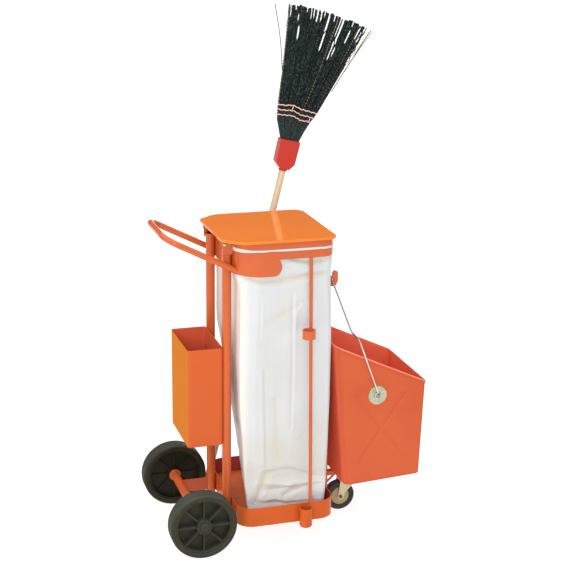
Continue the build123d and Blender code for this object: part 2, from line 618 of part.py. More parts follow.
pan_outer = pan_loft(0)
pan_body = pan_outer & pan_slab(0, 0)
pan_low = [e for e in pan_body.edges() if e.center().Z < 172]
pan_body = fillet(pan_low, 9.0)
pan = pan_body + (pan_loft(-PAN_LIP) & pan_rim(-PAN_LIP_H, 0))
pan_in = pan_loft(PAN_T) & pan_slab(PAN_T, 60)
pan_in = fillet([e for e in pan_in.edges() if e.center().Z < 174], 7.0)
pan -= pan_in
# crossed swages pressed inwards on each side
SWAGE_R, SWAGE_D = 15.0, 1.9
for s in (-1, 1):
    for a, b in (((477, 438), (650, 224)), ((643, 434), (497, 218))):
        y = s * (PAN_W + SWAGE_R - SWAGE_D)
        pan += cyl((a[0], y, a[1]), (b[0], y, b[1]), SWAGE_R + 1.8) & pan_body
    for a, b in (((477, 438), (650, 224)), ((643, 434), (497, 218))):
        y = s * (PAN_W + SWAGE_R - SWAGE_D)
        pan -= cyl((a[0], y, a[1]), (b[0], y, b[1]), SWAGE_R)
save("pan", pan)

disc = Pos(PIVOT_X, PAN_W, PIVOT_Z) * turned([(0, 0, 0), (29.6, 0, 0), (29.6, 2.0, 1.0), (13, 2.0, 0), (0, 2.0, 0)])
save("pivot_discs", both(disc))
pin = cyl_y(PIVOT_X, PIVOT_Z, PAN_W + 2.0, 162.0, EYE_R - WIRE_R - RUN)
pin += Pos(PIVOT_X, 162.0, PIVOT_Z) * turned([(0, 0, 0), (7.4, 0, 0), (7.4, 1.6, 0.5), (5.0, 2.6, 0.8), (2.2, 2.6, 0), (2.2, 1.2, 0), (0, 1.2, 0)])
save("pivot_pins", both(pin))
rivets = None
for k in (5, 131, 245):
    a = math.radians(k)
    rx, rz = PIVOT_X + 20.5 * math.cos(a), PIVOT_Z + 20.5 * math.sin(a)
    b = Pos(rx, PAN_W + 2.0, rz) * turned([(0, 0, 0), (3.0, 0, 0), (2.6, 1.1, 0.4), (0, 1.6, 0)])
    rivets = b if rivets is None else rivets + b
save("disc_rivets", both(rivets))

# ---------------------------------------------------------------------------
# broom standing head-up on the left side
# ---------------------------------------------------------------------------
stick_lo = stick_at(35.9)
stick_hi = Vector(*STICK_A) + STICK_D * 1110
stick = cyl(tuple(stick_lo), tuple(stick_hi), STICK_R)
save("broom_stick", stick)

SIDE = Vector(STICK_D.Z, 0, -STICK_D.X).normalized()
head_plane = Plane(origin=STICK_A, x_dir=tuple(SIDE), z_dir=tuple(SIDE.cross(STICK_D)))


def head_slab(face, half):
    n = SIDE.cross(STICK_D)
    f = head_plane * face
    return extrude(Pos(*tuple(n * -half)) * f, amount=2 * half, dir=tuple(n))


neck = cyl(tuple(Vector(*STICK_A) + STICK_D * 1040), tuple(Vector(*STICK_A) + STICK_D * 1062), 13.5)
ferrule = head_slab(rpoly([(-14, 1046, 2), (14, 1046, 2), (29, 1064, 3), (30, 1136, 2), (-33, 1136, 2), (-32, 1064, 3)]), 17.0) + neck
ferrule -= stick
save("broom_ferrule", ferrule)

FAN = [(-31, 1136), (-46, 1165), (-58, 1190), (-66, 1235), (-76, 1338), (-95, 1464), (-108, 1530), (-94, 1535), (-32, 1535), (28, 1531),
       (95, 1527), (157, 1517), (126, 1411), (98, 1328), (66, 1234), (51, 1203), (38, 1170), (28, 1136)]
fan = head_slab(make_face(Polyline(*FAN, close=True)), 18.0)
save("broom_bristles", fan)


def fan_u(a, side):
    pts = FAN[:7] if side < 0 else FAN[11:][::-1]
    for (u0, a0), (u1, a1) in zip(pts, pts[1:]):
        if a0 <= a <= a1:
            return u0 + (u1 - u0) * (a - a0) / (a1 - a0)
    return pts[-1][0]


rows = None
for a in (1204.0, 1219.0, 1234.0):
    r0 = head_slab(make_face(Polyline((fan_u(a, -1) - 2, a - 1.6), (fan_u(a, 1) + 2, a - 1.6), (fan_u(a, 1) + 2, a + 1.6), (fan_u(a, -1) - 2, a + 1.6), close=True)), 20.0)
    r0 -= fan
    rows = r0 if rows is None else rows + r0
save("broom_stitching", rows)
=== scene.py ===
import math
import random

import bpy
import numpy as np
from mathutils import Matrix, Vector


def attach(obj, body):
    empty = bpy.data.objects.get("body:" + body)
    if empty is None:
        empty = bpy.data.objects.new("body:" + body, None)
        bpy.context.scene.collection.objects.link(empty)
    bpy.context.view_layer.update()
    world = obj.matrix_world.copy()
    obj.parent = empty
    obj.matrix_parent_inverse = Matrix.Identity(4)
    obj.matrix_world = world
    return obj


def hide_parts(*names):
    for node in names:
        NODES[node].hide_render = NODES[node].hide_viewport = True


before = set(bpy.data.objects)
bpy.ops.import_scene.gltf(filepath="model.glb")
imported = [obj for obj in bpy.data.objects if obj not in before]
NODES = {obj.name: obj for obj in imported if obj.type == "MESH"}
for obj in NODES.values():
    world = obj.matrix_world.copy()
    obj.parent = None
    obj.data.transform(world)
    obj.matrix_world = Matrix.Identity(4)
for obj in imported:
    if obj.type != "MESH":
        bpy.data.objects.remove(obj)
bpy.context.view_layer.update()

X_MID = 304.23


def at(x, y, z):
    """Working millimetres (x from the rear axle) to metres in the shared frame."""
    return Vector(((x - X_MID) / 1000.0, y / 1000.0, z / 1000.0))


# ------------------------------------------------------------------ small noise

_rng = np.random.default_rng(71)
_perm = _rng.permutation(256)
_perm = np.concatenate([_perm, _perm, _perm])
_grad = _rng.normal(size=(256, 3))
_grad /= np.linalg.norm(_grad, axis=1)[:, None]


def gnoise(p):
    """Gradient noise, about -0.7 to 0.7, at points p (n, 3)."""
    p = np.asarray(p, float)
    i = np.floor(p).astype(int)
    f = p - i
    w = f * f * f * (f * (f * 6 - 15) + 10)
    i &= 255
    out = np.zeros(len(p))
    for dx in (0, 1):
        wx = w[:, 0] if dx else 1 - w[:, 0]
        for dy in (0, 1):
            wy = w[:, 1] if dy else 1 - w[:, 1]
            for dz in (0, 1):
                wz = w[:, 2] if dz else 1 - w[:, 2]
                h = _perm[_perm[_perm[i[:, 0] + dx] + i[:, 1] + dy] + i[:, 2] + dz]
                g = _grad[h]
                d = (f - np.array([dx, dy, dz])) * g
                out += wx * wy * wz * d.sum(1)
    return out


def smooth(a, b, x):
    t = np.clip((x - a) / (b - a), 0, 1)
    return t * t * (3 - 2 * t)


# ------------------------------------------------------------------ mesh helpers


def mesh_object(name, verts, faces, body, smooth_faces=True):
    me = bpy.data.meshes.new(name)
    me.from_pydata([tuple(v) for v in verts], [], faces)
    me.update()
    if smooth_faces:
        me.polygons.foreach_set("use_smooth", [True] * len(me.polygons))
    ob = bpy.data.objects.new(name, me)
    bpy.context.scene.collection.objects.link(ob)
    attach(ob, body)
    return ob


def tube(points, radii, sides, verts, faces, twist=0.0, tones=None, tone=0.0):
    """Adds a closed tube along points to verts and faces."""
    pts = [Vector(p) for p in points]
    n = len(pts)
    base = len(verts)
    ref = None
    for k in range(n):
        t = (pts[min(k + 1, n - 1)] - pts[max(k - 1, 0)]).normalized()
        if ref is None:
            ref = t.orthogonal().normalized()
        ref = (ref - t * ref.dot(t)).normalized()
        bi = t.cross(ref)
        r = radii[k] if hasattr(radii, "__len__") else radii
        for s in range(sides):
            a = 2 * math.pi * s / sides + twist
            verts.append(pts[k] + ref * (r * math.cos(a)) + bi * (r * math.sin(a)))
            if tones is not None:
                tones.append(tone)
    for k in range(n - 1):
        for s in range(sides):
            a = base + k * sides + s
            b = base + k * sides + (s + 1) % sides
            faces.append((a, b, b + sides, a + sides))
    faces.append(tuple(base + s for s in reversed(range(sides))))
    faces.append(tuple(base + (n - 1) * sides + s for s in range(sides)))


# ------------------------------------------------------------------ material helpers


class Mat:
    def __init__(self, name):
        self.m = bpy.data.materials.new(name)
        self.m.use_nodes = True
        self.t = self.m.node_tree
        self.b = self.t.nodes["Principled BSDF"]
        self.tc = self.t.nodes.new("ShaderNodeTexCoord")
        self.obj = self.tc.outputs["Object"]

    def new(self, kind):
        return self.t.nodes.new(kind)

    def link(self, a, b):
        self.t.links.new(a, b)

    def mapping(self, scale=(1, 1, 1), rot=(0, 0, 0), loc=(0, 0, 0), src=None):
        n = self.new("ShaderNodeMapping")
        n.inputs["Scale"].default_value = scale
        n.inputs["Rotation"].default_value = rot
        n.inputs["Location"].default_value = loc
        self.link(src or self.obj, n.inputs["Vector"])
        return n.outputs["Vector"]

    def noise(self, scale, detail=3.0, rough=0.5, vec=None, distortion=0.0):
        n = self.new("ShaderNodeTexNoise")
        n.inputs["Scale"].default_value = scale
        n.inputs["Detail"].default_value = detail
        n.inputs["Roughness"].default_value = rough
        n.inputs["Distortion"].default_value = distortion
        self.link(vec or self.obj, n.inputs["Vector"])
        return n.outputs["Fac"]

    def voronoi(self, scale, vec=None, feature="F1", out="Distance"):
        n = self.new("ShaderNodeTexVoronoi")
        n.feature = feature
        n.inputs["Scale"].default_value = scale
        self.link(vec or self.obj, n.inputs["Vector"])
        return n.outputs[out]

    def wave(self, scale, vec=None, distortion=1.0, detail=2.0, dscale=1.0, axis="X"):
        n = self.new("ShaderNodeTexWave")
        n.bands_direction = axis
        n.inputs["Scale"].default_value = scale
        n.inputs["Distortion"].default_value = distortion
        n.inputs["Detail"].default_value = detail
        n.inputs["Detail Scale"].default_value = dscale
        self.link(vec or self.obj, n.inputs["Vector"])
        return n.outputs["Fac"]

    def span(self, src, a, b, lo, hi):
        n = self.new("ShaderNodeMapRange")
        n.inputs["From Min"].default_value = a
        n.inputs["From Max"].default_value = b
        n.inputs["To Min"].default_value = lo
        n.inputs["To Max"].default_value = hi
        self.link(src, n.inputs["Value"])
        return n.outputs["Result"]

    def ramp(self, src, stops):
        n = self.new("ShaderNodeValToRGB")
        e = n.color_ramp.elements
        while len(e) < len(stops):
            e.new(0.5)
        for k, (p, c) in enumerate(stops):
            e[k].position = p
            e[k].color = (*c, 1.0)
        self.link(src, n.inputs["Fac"])
        return n.outputs["Color"]

    def math(self, op, a, b):
        n = self.new("ShaderNodeMath")
        n.operation = op
        for k, v in enumerate((a, b)):
            if isinstance(v, (int, float)):
                n.inputs[k].default_value = v
            else:
                self.link(v, n.inputs[k])
        return n.outputs[0]

    def mix(self, fac, a, b, blend="MIX"):
        n = self.new("ShaderNodeMix")
        n.data_type = "RGBA"
        n.blend_type = blend
        if isinstance(fac, (int, float)):
            n.inputs[0].default_value = fac
        else:
            self.link(fac, n.inputs[0])
        for k, v in ((6, a), (7, b)):
            if isinstance(v, tuple):
                n.inputs[k].default_value = (*v, 1.0)
            else:
                self.link(v, n.inputs[k])
        return n.outputs[2]

    def bevel(self, radius, samples=4):
        n = self.new("ShaderNodeBevel")
        n.samples = samples
        n.inputs["Radius"].default_value = radius
        return n.outputs["Normal"]

    def edge(self, bev, lo=0.995, hi=0.86):
        g = self.new("ShaderNodeNewGeometry")
        d = self.new("ShaderNodeVectorMath")
        d.operation = "DOT_PRODUCT"
        self.link(bev, d.inputs[0])
        self.link(g.outputs["Normal"], d.inputs[1])
        return self.span(d.outputs["Value"], lo, hi, 0.0, 1.0)

    def bump(self, height, strength, distance, normal=None):
        n = self.new("ShaderNodeBump")
        n.inputs["Strength"].default_value = strength
        n.inputs["Distance"].default_value = distance
        self.link(height, n.inputs["Height"])
        if normal is not None:
            self.link(normal, n.inputs["Normal"])
        return n.outputs["Normal"]

    def out(self, color=None, rough=None, normal=None, **consts):
        if color is not None:
            self.link(color, self.b.inputs["Base Color"])
        if rough is not None:
            self.link(rough, self.b.inputs["Roughness"])
        if normal is not None:
            self.link(normal, self.b.inputs["Normal"])
        for k, v in consts.items():
            self.b.inputs[k.replace("_", " ")].default_value = v
        return self.m


def upward(s, lo, hi, most):
    """How far a face looks up, as the mask of a painted sky sheen: upward faces lightened, standing in for sky light.
    """
    g = s.new("ShaderNodeNewGeometry")
    sep = s.new("ShaderNodeSeparateXYZ")
    s.link(g.outputs["Normal"], sep.inputs[0])
    return s.math("MULTIPLY", s.span(sep.outputs["Z"], lo, hi, 0.0, most), s.span(s.noise(32.0, 4.0, 0.6), 0.3, 0.65, 0.6, 1.0))


def enamel(name, base, deep, light, rough=(0.20, 0.36), bevel=0.0014, dirt=0.25, spec=0.14, rear=None, inner=None, rim_highlight=None):
    """Sprayed enamel on steel: slight orange peel, drifting tone, paler edges that are partly rubbing wear and partly a
    painted edge highlight, dust low down; optional painted light on rear faces, painted light and shade on inner faces,
    and a painted highlight along a rim.
    """
    s = Mat(name)
    drift = s.noise(3.2, 4.0, 0.55)
    col = s.ramp(drift, [(0.30, deep), (0.50, base), (0.72, base)])
    speck = s.noise(140.0, 3.0, 0.6)
    col = s.mix(s.span(speck, 0.60, 0.78, 0.0, 0.10), col, deep)
    bev = s.bevel(bevel)
    # paler edges: rubbing wear, and also a painted edge highlight
    rub = s.math("MULTIPLY", s.edge(bev), s.span(s.noise(38.0, 5.0, 0.6), 0.40, 0.66, 0.15, 0.75))
    col = s.mix(rub, col, light)
    sep = s.new("ShaderNodeSeparateXYZ")
    s.link(s.obj, sep.inputs[0])
    # painted light: faces past x0 towards the rear take the rear tone, standing in for light from the left
    if rear is not None:
        (kx, kz), x0, wide, tone = rear
        lean = s.math("ADD", s.math("MULTIPLY", sep.outputs["X"], kx), s.math("MULTIPLY", sep.outputs["Z"], kz))
        rear_light_mask = s.math("MULTIPLY", s.span(lean, x0 + wide, x0, 0.0, 1.0), s.span(s.noise(9.0, 4.0, 0.6), 0.3, 0.7, 0.8, 1.0))
        col = s.mix(rear_light_mask, col, tone)
    # painted light and shade: faces looking in towards the centre take the inner tone, lighter in the bin and pan,
    # darker in the tray
    if inner is not None:
        cx, tone = inner
        g = s.new("ShaderNodeNewGeometry")
        nor = s.new("ShaderNodeSeparateXYZ")
        s.link(g.outputs["Normal"], nor.inputs[0])
        side = s.math("ADD", s.math("MULTIPLY", s.math("SUBTRACT", sep.outputs["X"], cx), nor.outputs["X"]), s.math("MULTIPLY", sep.outputs["Y"], nor.outputs["Y"]))
        col = s.mix(s.math("MULTIPLY", s.span(side, -0.012, -0.032, 0.0, 1.0), s.span(s.noise(14.0, 4.0, 0.6), 0.3, 0.7, 0.8, 1.0)), col, tone)
    # painted highlight: a lighter band up to the rim's top edge
    if rim_highlight is not None:
        kx, v0, wide, tone = rim_highlight
        up = s.math("ADD", s.math("MULTIPLY", sep.outputs["X"], kx), sep.outputs["Z"])
        col = s.mix(s.math("MULTIPLY", s.span(up, v0 - wide, v0 - 0.6 * wide, 0.0, 1.0), s.span(s.noise(24.0, 4.0, 0.6), 0.3, 0.6, 0.6, 1.0)), col, tone)
    low = s.span(sep.outputs["Z"], 0.02, 0.20, 1.0, 0.0)
    dust = s.math("MULTIPLY", low, s.span(s.noise(26.0, 6.0, 0.62), 0.46, 0.70, 0.0, dirt))
    col = s.mix(dust, col, (0.16, 0.085, 0.05))
    r = s.span(s.noise(17.0, 5.0, 0.6), 0.30, 0.72, rough[0], rough[1])
    r = s.math("ADD", r, s.math("MULTIPLY", dust, 0.5))
    peel = s.noise(520.0, 2.0, 0.5)
    wav = s.noise(34.0, 2.0, 0.5)
    n = s.bump(peel, 0.10, 0.00035, bev)
    n = s.bump(wav, 0.05, 0.0025, n)
    return s.out(col, r, n, Specular_IOR_Level=spec)


def zinc(name, base, tint, rough=(0.22, 0.42), bevel=0.0005, upper_shade=None):
    s = Mat(name)
    patch = s.noise(60.0, 5.0, 0.6)
    col = s.ramp(patch, [(0.30, tint), (0.60, base)])
    spang = s.voronoi(420.0, out="Color")
    bw = s.new("ShaderNodeRGBToBW")
    s.link(spang, bw.inputs[0])
    col = s.mix(s.span(bw.outputs[0], 0.2, 0.9, 0.0, 0.16), col, tint)
    if upper_shade is not None:
        # painted shade: above z0 the metal darkens towards the shade tone
        z0, z1, tone = upper_shade
        sep = s.new("ShaderNodeSeparateXYZ")
        s.link(s.obj, sep.inputs[0])
        col = s.mix(s.math("MULTIPLY", s.span(sep.outputs["Z"], z0, z1, 0.0, 1.0), s.span(s.noise(40.0, 4.0, 0.6), 0.3, 0.6, 0.75, 1.0)), col, tone)
    r = s.span(s.noise(180.0, 4.0, 0.6), 0.30, 0.70, rough[0], rough[1])
    bev = s.bevel(bevel)
    n = s.bump(s.noise(900.0, 3.0, 0.6), 0.08, 0.0002, bev)
    return s.out(col, r, n, Metallic=1.0)


def moulded(name, base, deep, light, rough=(0.42, 0.6), bevel=0.0009, grain=1400.0, scuff=0.35, spec=0.4, sky_sheen=None):
    s = Mat(name)
    col = s.ramp(s.noise(14.0, 5.0, 0.6), [(0.32, deep), (0.64, base)])
    bev = s.bevel(bevel)
    rub = s.math("MULTIPLY", s.edge(bev), s.span(s.noise(70.0, 5.0, 0.6), 0.38, 0.68, 0.1, 0.8))
    col = s.mix(rub, col, light)
    sc = s.span(s.noise(95.0, 6.0, 0.66), 0.56, 0.74, 0.0, scuff)
    col = s.mix(sc, col, light)
    # painted highlight: upward faces lightened towards a pale tone, standing in for sky light
    if sky_sheen is not None:
        col = s.mix(upward(s, 0.25, 0.85, 0.7), col, sky_sheen)
    r = s.span(s.noise(48.0, 4.0, 0.6), 0.3, 0.7, rough[0], rough[1])
    n = s.bump(s.noise(grain, 2.0, 0.5), 0.16, 0.0003, bev)
    return s.out(col, r, n, Specular_IOR_Level=spec)


# ------------------------------------------------------------------ materials

ORANGE = enamel("orange_enamel", (0.560, 0.108, 0.026), (0.515, 0.092, 0.023), (0.72, 0.20, 0.066), rough=(0.13, 0.25), spec=0.33)
ARMORANGE = enamel("arm_enamel", (0.465, 0.078, 0.0235), (0.425, 0.066, 0.021), (0.66, 0.17, 0.060), rough=(0.16, 0.30), spec=0.28)
LIDORANGE = enamel("lid_enamel", (0.79, 0.192, 0.012), (0.75, 0.172, 0.011), (0.86, 0.27, 0.06), rough=(0.05, 0.11), spec=0.35)
# bin: painted light on the rear face and inside
BINORANGE = enamel("bin_enamel", (0.570, 0.114, 0.035), (0.53, 0.098, 0.031), (0.72, 0.20, 0.08), rough=(0.24, 0.40), spec=0.0,
                   rear=((1.0, 0.0), (-21.3 - X_MID) / 1000.0, 0.0009, (0.60, 0.196, 0.030)),
                   inner=((31.0 - X_MID) / 1000.0, (0.68, 0.128, 0.062)))
# tray sides: painted shade on the inner faces
TRAYSIDE = enamel("tray_side_enamel", (0.565, 0.094, 0.011), (0.51, 0.081, 0.009), (0.72, 0.19, 0.05), rough=(0.20, 0.34), spec=0.15, dirt=0.4,
                  inner=((255.0 - X_MID) / 1000.0, (0.34, 0.045, 0.040)))
# pan: painted light on the rear face and inside, and a painted highlight along the rim
CORAL = enamel("pan_enamel", (0.575, 0.114, 0.0465), (0.535, 0.098, 0.040), (0.71, 0.19, 0.10), rough=(0.24, 0.38), spec=0.0,
               rear=((1.0, 0.0847), (464.3 - X_MID) / 1000.0, 0.009, (0.95, 0.165, 0.085)),
               inner=((570.0 - X_MID) / 1000.0, (0.86, 0.165, 0.088)), rim_highlight=(0.4626, 0.64956, 0.0040, (0.80, 0.28, 0.18)))
TRAYORANGE = enamel("tray_enamel", (0.65, 0.145, 0.045), (0.53, 0.116, 0.039), (0.80, 0.24, 0.085), rough=(0.28, 0.46), dirt=0.5)
ZINC = zinc("bright_zinc", (0.50, 0.495, 0.345), (0.38, 0.375, 0.265), rough=(0.20, 0.36))
# bail wire: painted shade on its upper part
WIRE = zinc("drawn_wire", (0.72, 0.71, 0.66), (0.58, 0.57, 0.52), rough=(0.16, 0.30), upper_shade=(0.575, 0.62, (0.33, 0.31, 0.275)))
PIN = zinc("pin_zinc", (0.36, 0.35, 0.29), (0.26, 0.25, 0.21), rough=(0.18, 0.32))
YZINC = zinc("yellow_zinc", (0.60, 0.52, 0.34), (0.50, 0.44, 0.30), rough=(0.34, 0.52))
DZINC = zinc("dark_zinc", (0.16, 0.15, 0.12), (0.10, 0.095, 0.08), rough=(0.34, 0.5))
BLACK = moulded("black_plastic", (0.022, 0.022, 0.023), (0.014, 0.014, 0.015), (0.06, 0.06, 0.06))
# wheel plastic: a painted sky highlight on its upward faces
WHEEL = moulded("wheel_plastic", (0.033, 0.032, 0.017), (0.024, 0.023, 0.012), (0.070, 0.070, 0.043), rough=(0.36, 0.55), spec=0.16, sky_sheen=(0.052, 0.068, 0.062))
# left wheel: a darker copy of the wheel plastic, painted shade
WHEEL_SHADED_L = moulded("wheel_plastic_left_shaded", (0.019, 0.0165, 0.0085), (0.014, 0.012, 0.006), (0.044, 0.042, 0.027), rough=(0.36, 0.55), spec=0.12)
CASTOR_CORE = moulded("castor_core_plastic", (0.385, 0.31, 0.143), (0.33, 0.26, 0.12), (0.455, 0.376, 0.22), rough=(0.40, 0.56), scuff=0.2)


def rubber(name, base, deep, dust, sky_sheen=None):
    s = Mat(name)
    col = s.ramp(s.noise(24.0, 6.0, 0.62), [(0.30, deep), (0.62, base)])
    bev = s.bevel(0.0012)
    wear = s.math("MULTIPLY", s.edge(bev), s.span(s.noise(120.0, 5.0, 0.6), 0.4, 0.7, 0.1, 0.7))
    col = s.mix(wear, col, dust)
    scuff = s.span(s.noise(210.0, 6.0, 0.68), 0.55, 0.76, 0.0, 0.38)
    col = s.mix(scuff, col, dust)
    # painted highlight: upward faces lightened towards a pale tone, standing in for sky light
    if sky_sheen is not None:
        col = s.mix(upward(s, 0.20, 0.85, 0.8), col, sky_sheen)
    r = s.span(s.noise(64.0, 5.0, 0.6), 0.3, 0.7, 0.46, 0.70)
    n = s.bump(s.noise(760.0, 3.0, 0.6), 0.22, 0.0005, bev)
    return s.out(col, r, n, Specular_IOR_Level=0.16)


# tyres: a painted sky highlight on their upward faces
TYRE = rubber("tyre_rubber", (0.041, 0.040, 0.019), (0.031, 0.030, 0.015), (0.076, 0.072, 0.043), sky_sheen=(0.056, 0.068, 0.060))
# left tyre: a darker copy of the tyre rubber, painted shade
TYRE_SHADED_L = rubber("tyre_rubber_left_shaded", (0.027, 0.025, 0.011), (0.020, 0.018, 0.008), (0.052, 0.048, 0.028), sky_sheen=(0.053, 0.058, 0.039))
CASTOR_TYRE = rubber("castor_rubber", (0.050, 0.046, 0.040), (0.036, 0.033, 0.030), (0.11, 0.10, 0.09))


def bag_material():
    s = Mat("bag_vinyl")
    col = s.ramp(s.noise(5.0, 4.0, 0.55), [(0.30, (0.560, 0.560, 0.538)), (0.52, (0.582, 0.596, 0.598)), (0.75, (0.588, 0.608, 0.628))])
    a = s.new("ShaderNodeAttribute")
    a.attribute_name = "crease"
    sep = s.new("ShaderNodeSeparateXYZ")
    s.link(s.obj, sep.inputs[0])
    foot = s.math("MULTIPLY", s.span(sep.outputs["Z"], 0.40, 0.10, 0.0, 0.9), s.span(s.noise(12.0, 4.0, 0.6), 0.3, 0.7, 0.5, 1.0))
    col = s.mix(foot, col, (0.575, 0.538, 0.445))
    # painted light: the foot, below about 0.21 m, is screened towards a bluish white
    col = s.mix(s.span(sep.outputs["Z"], 0.21, 0.10, 0.0, 0.85), col, (0.70, 0.86, 0.97), "SCREEN")
    # painted light: the rear part of the bag, x below 152 mm, is screened towards a warm tone, standing in for light
    # bounced off the orange frame
    col = s.mix(s.span(sep.outputs["X"], (152.0 - X_MID) / 1000.0, (130.0 - X_MID) / 1000.0, 0.0, 0.56), col, (0.84, 0.58, 0.27), "SCREEN")
    # painted shade: creases and undercuts, from the crease attribute, darkened to cream
    crease_shade = s.math("MULTIPLY", s.span(a.outputs["Fac"], 0.12, 0.75, 0.0, 0.75), s.span(s.noise(30.0, 4.0, 0.6), 0.3, 0.7, 0.7, 1.0))
    col = s.mix(crease_shade, col, (0.56, 0.515, 0.395))
    fib = s.noise(900.0, 2.0, 0.5)
    col = s.mix(s.span(fib, 0.55, 0.75, 0.0, 0.10), col, (0.72, 0.70, 0.66))
    wv1 = s.wave(330.0, distortion=0.5, axis="Z")
    wv2 = s.wave(330.0, vec=s.mapping(rot=(0, 0, 0.785)), distortion=0.5, axis="X")
    r = s.span(s.noise(22.0, 4.0, 0.6), 0.3, 0.7, 0.38, 0.55)
    n = s.bump(s.math("ADD", wv1, wv2), 0.05, 0.00025)
    n = s.bump(s.noise(70.0, 5.0, 0.62), 0.14, 0.0014, n)
    return s.out(col, r, n, Sheen_Weight=0.08, Sheen_Roughness=0.5, Specular_IOR_Level=0.3)


BAG = bag_material()

# broom axis, in metres
BA = at(115.0, 213.0, 45.0)
BD = (at(356.1, 205.0, 1058.0) - BA).normalized()
BE = Vector((BD.z, 0.0, -BD.x)).normalized()
BF = BD.cross(BE).normalized()
TO_STICK = Matrix((BE, BF, BD)).to_euler()


def wood():
    s = Mat("stick_wood")
    v = s.mapping(rot=tuple(TO_STICK), src=s.obj)
    g = s.mapping(scale=(120.0, 120.0, 5.0), src=v)
    fine = s.noise(1.0, 6.0, 0.62, vec=g)
    col = s.ramp(fine, [(0.30, (0.475, 0.36, 0.21)), (0.50, (0.60, 0.512, 0.35)), (0.70, (0.665, 0.60, 0.44))])
    rings = s.wave(0.55, vec=s.mapping(scale=(150.0, 90.0, 3.0), src=v), distortion=5.0, detail=3.0)
    col = s.mix(s.span(rings, 0.55, 0.95, 0.0, 0.35), col, (0.58, 0.36, 0.20))
    spots = s.noise(26.0, 4.0, 0.6)
    col = s.mix(s.span(spots, 0.60, 0.78, 0.0, 0.35), col, (0.50, 0.32, 0.19))
    r = s.span(fine, 0.3, 0.7, 0.34, 0.52)
    n = s.bump(fine, 0.14, 0.0005)
    return s.out(col, r, n)


WOOD = wood()
RED = enamel("ferrule_enamel", (0.475, 0.039, 0.027), (0.38, 0.027, 0.020), (0.70, 0.14, 0.09), rough=(0.20, 0.36), bevel=0.002)


def toned(name, dark, mid, pale, rough, fine, attr="tone", glint=None, spec=0.5, low=None):
    """A strand material: each strand carries its own tone from 0 to 1."""
    s = Mat(name)
    a = s.new("ShaderNodeAttribute")
    a.attribute_name = attr
    col = s.ramp(a.outputs["Fac"], [(0.0, dark), (0.55, mid), (0.86, mid), (0.93, pale)])
    col = s.mix(s.span(s.noise(fine, 3.0, 0.6), 0.5, 0.75, 0.0, 0.4), col, dark)
    if low is not None:
        b = s.new("ShaderNodeAttribute")
        b.attribute_name = "low"
        col = s.mix(b.outputs["Fac"], col, low)
    if glint is not None:
        # painted highlight: flecks on the mid-toned strands lightened to the glint tone
        glint_mask = s.math("MULTIPLY", s.span(s.noise(170.0, 1.0, 0.5), 0.52, 0.64, 0.0, 1.0), s.span(a.outputs["Fac"], 0.86, 0.90, 1.0, 0.0))
        col = s.mix(glint_mask, col, glint)
    r = s.span(s.noise(fine * 0.6, 3.0, 0.6), 0.3, 0.7, rough[0], rough[1])
    n = s.bump(s.noise(fine * 2, 2.0, 0.5), 0.15, 0.0003)
    return s.out(col, r, n, Specular_IOR_Level=spec)


BRISTLE = toned("bristle_strands", (0.003, 0.006, 0.005), (0.006, 0.012, 0.010), (0.42, 0.33, 0.18), (0.34, 0.50), 300.0, glint=(0.032, 0.060, 0.054), spec=0.2, low=(0.021, 0.029, 0.027))
STITCH = toned("stitch_cord", (0.66, 0.34, 0.29), (0.88, 0.52, 0.46), (0.92, 0.68, 0.62), (0.55, 0.75), 600.0)

GIVEN = {
    "hinge_bolts": ZINC, "hinge_nuts": ZINC, "axle_shaft": ZINC, "castor_bolts": ZINC, "castor_nuts": ZINC,
    "castor_race": ZINC, "castor_kingpin": ZINC, "bin_bolts": BINORANGE, "bail_wire": WIRE, "pivot_discs": ZINC,
    "pivot_pins": PIN, "disc_rivets": ZINC, "castor_axle": DZINC, "castor_axle_nut": DZINC, "castor_fork": YZINC,
    "post_plugs": BLACK, "axle_caps": WHEEL, "bail_grip": BLACK, "wheel_core_right": WHEEL, "wheel_core_left": WHEEL_SHADED_L,
    "wheel_tyre_right": TYRE, "wheel_tyre_left": TYRE_SHADED_L, "castor_tyre": CASTOR_TYRE, "castor_wheel_core": CASTOR_CORE,
    "trash_bag": BAG, "broom_stick": WOOD, "broom_ferrule": RED, "broom_bristles": BRISTLE, "broom_stitching": STITCH,
    "pan": CORAL, "tray_floor": TRAYORANGE, "lid": LIDORANGE, "axle_arms": ARMORANGE, "tool_bin": BINORANGE, "base_tray": TRAYSIDE, "tool_cup_right": TRAYSIDE,
}
for name, ob in NODES.items():
    ob.data.materials.clear()
    ob.data.materials.append(GIVEN.get(name, ORANGE))
    ob.data.polygons.foreach_set("use_smooth", [True] * len(ob.data.polygons))
    ob.data.set_sharp_from_angle(angle=math.radians(32))


# ------------------------------------------------------------------ bag

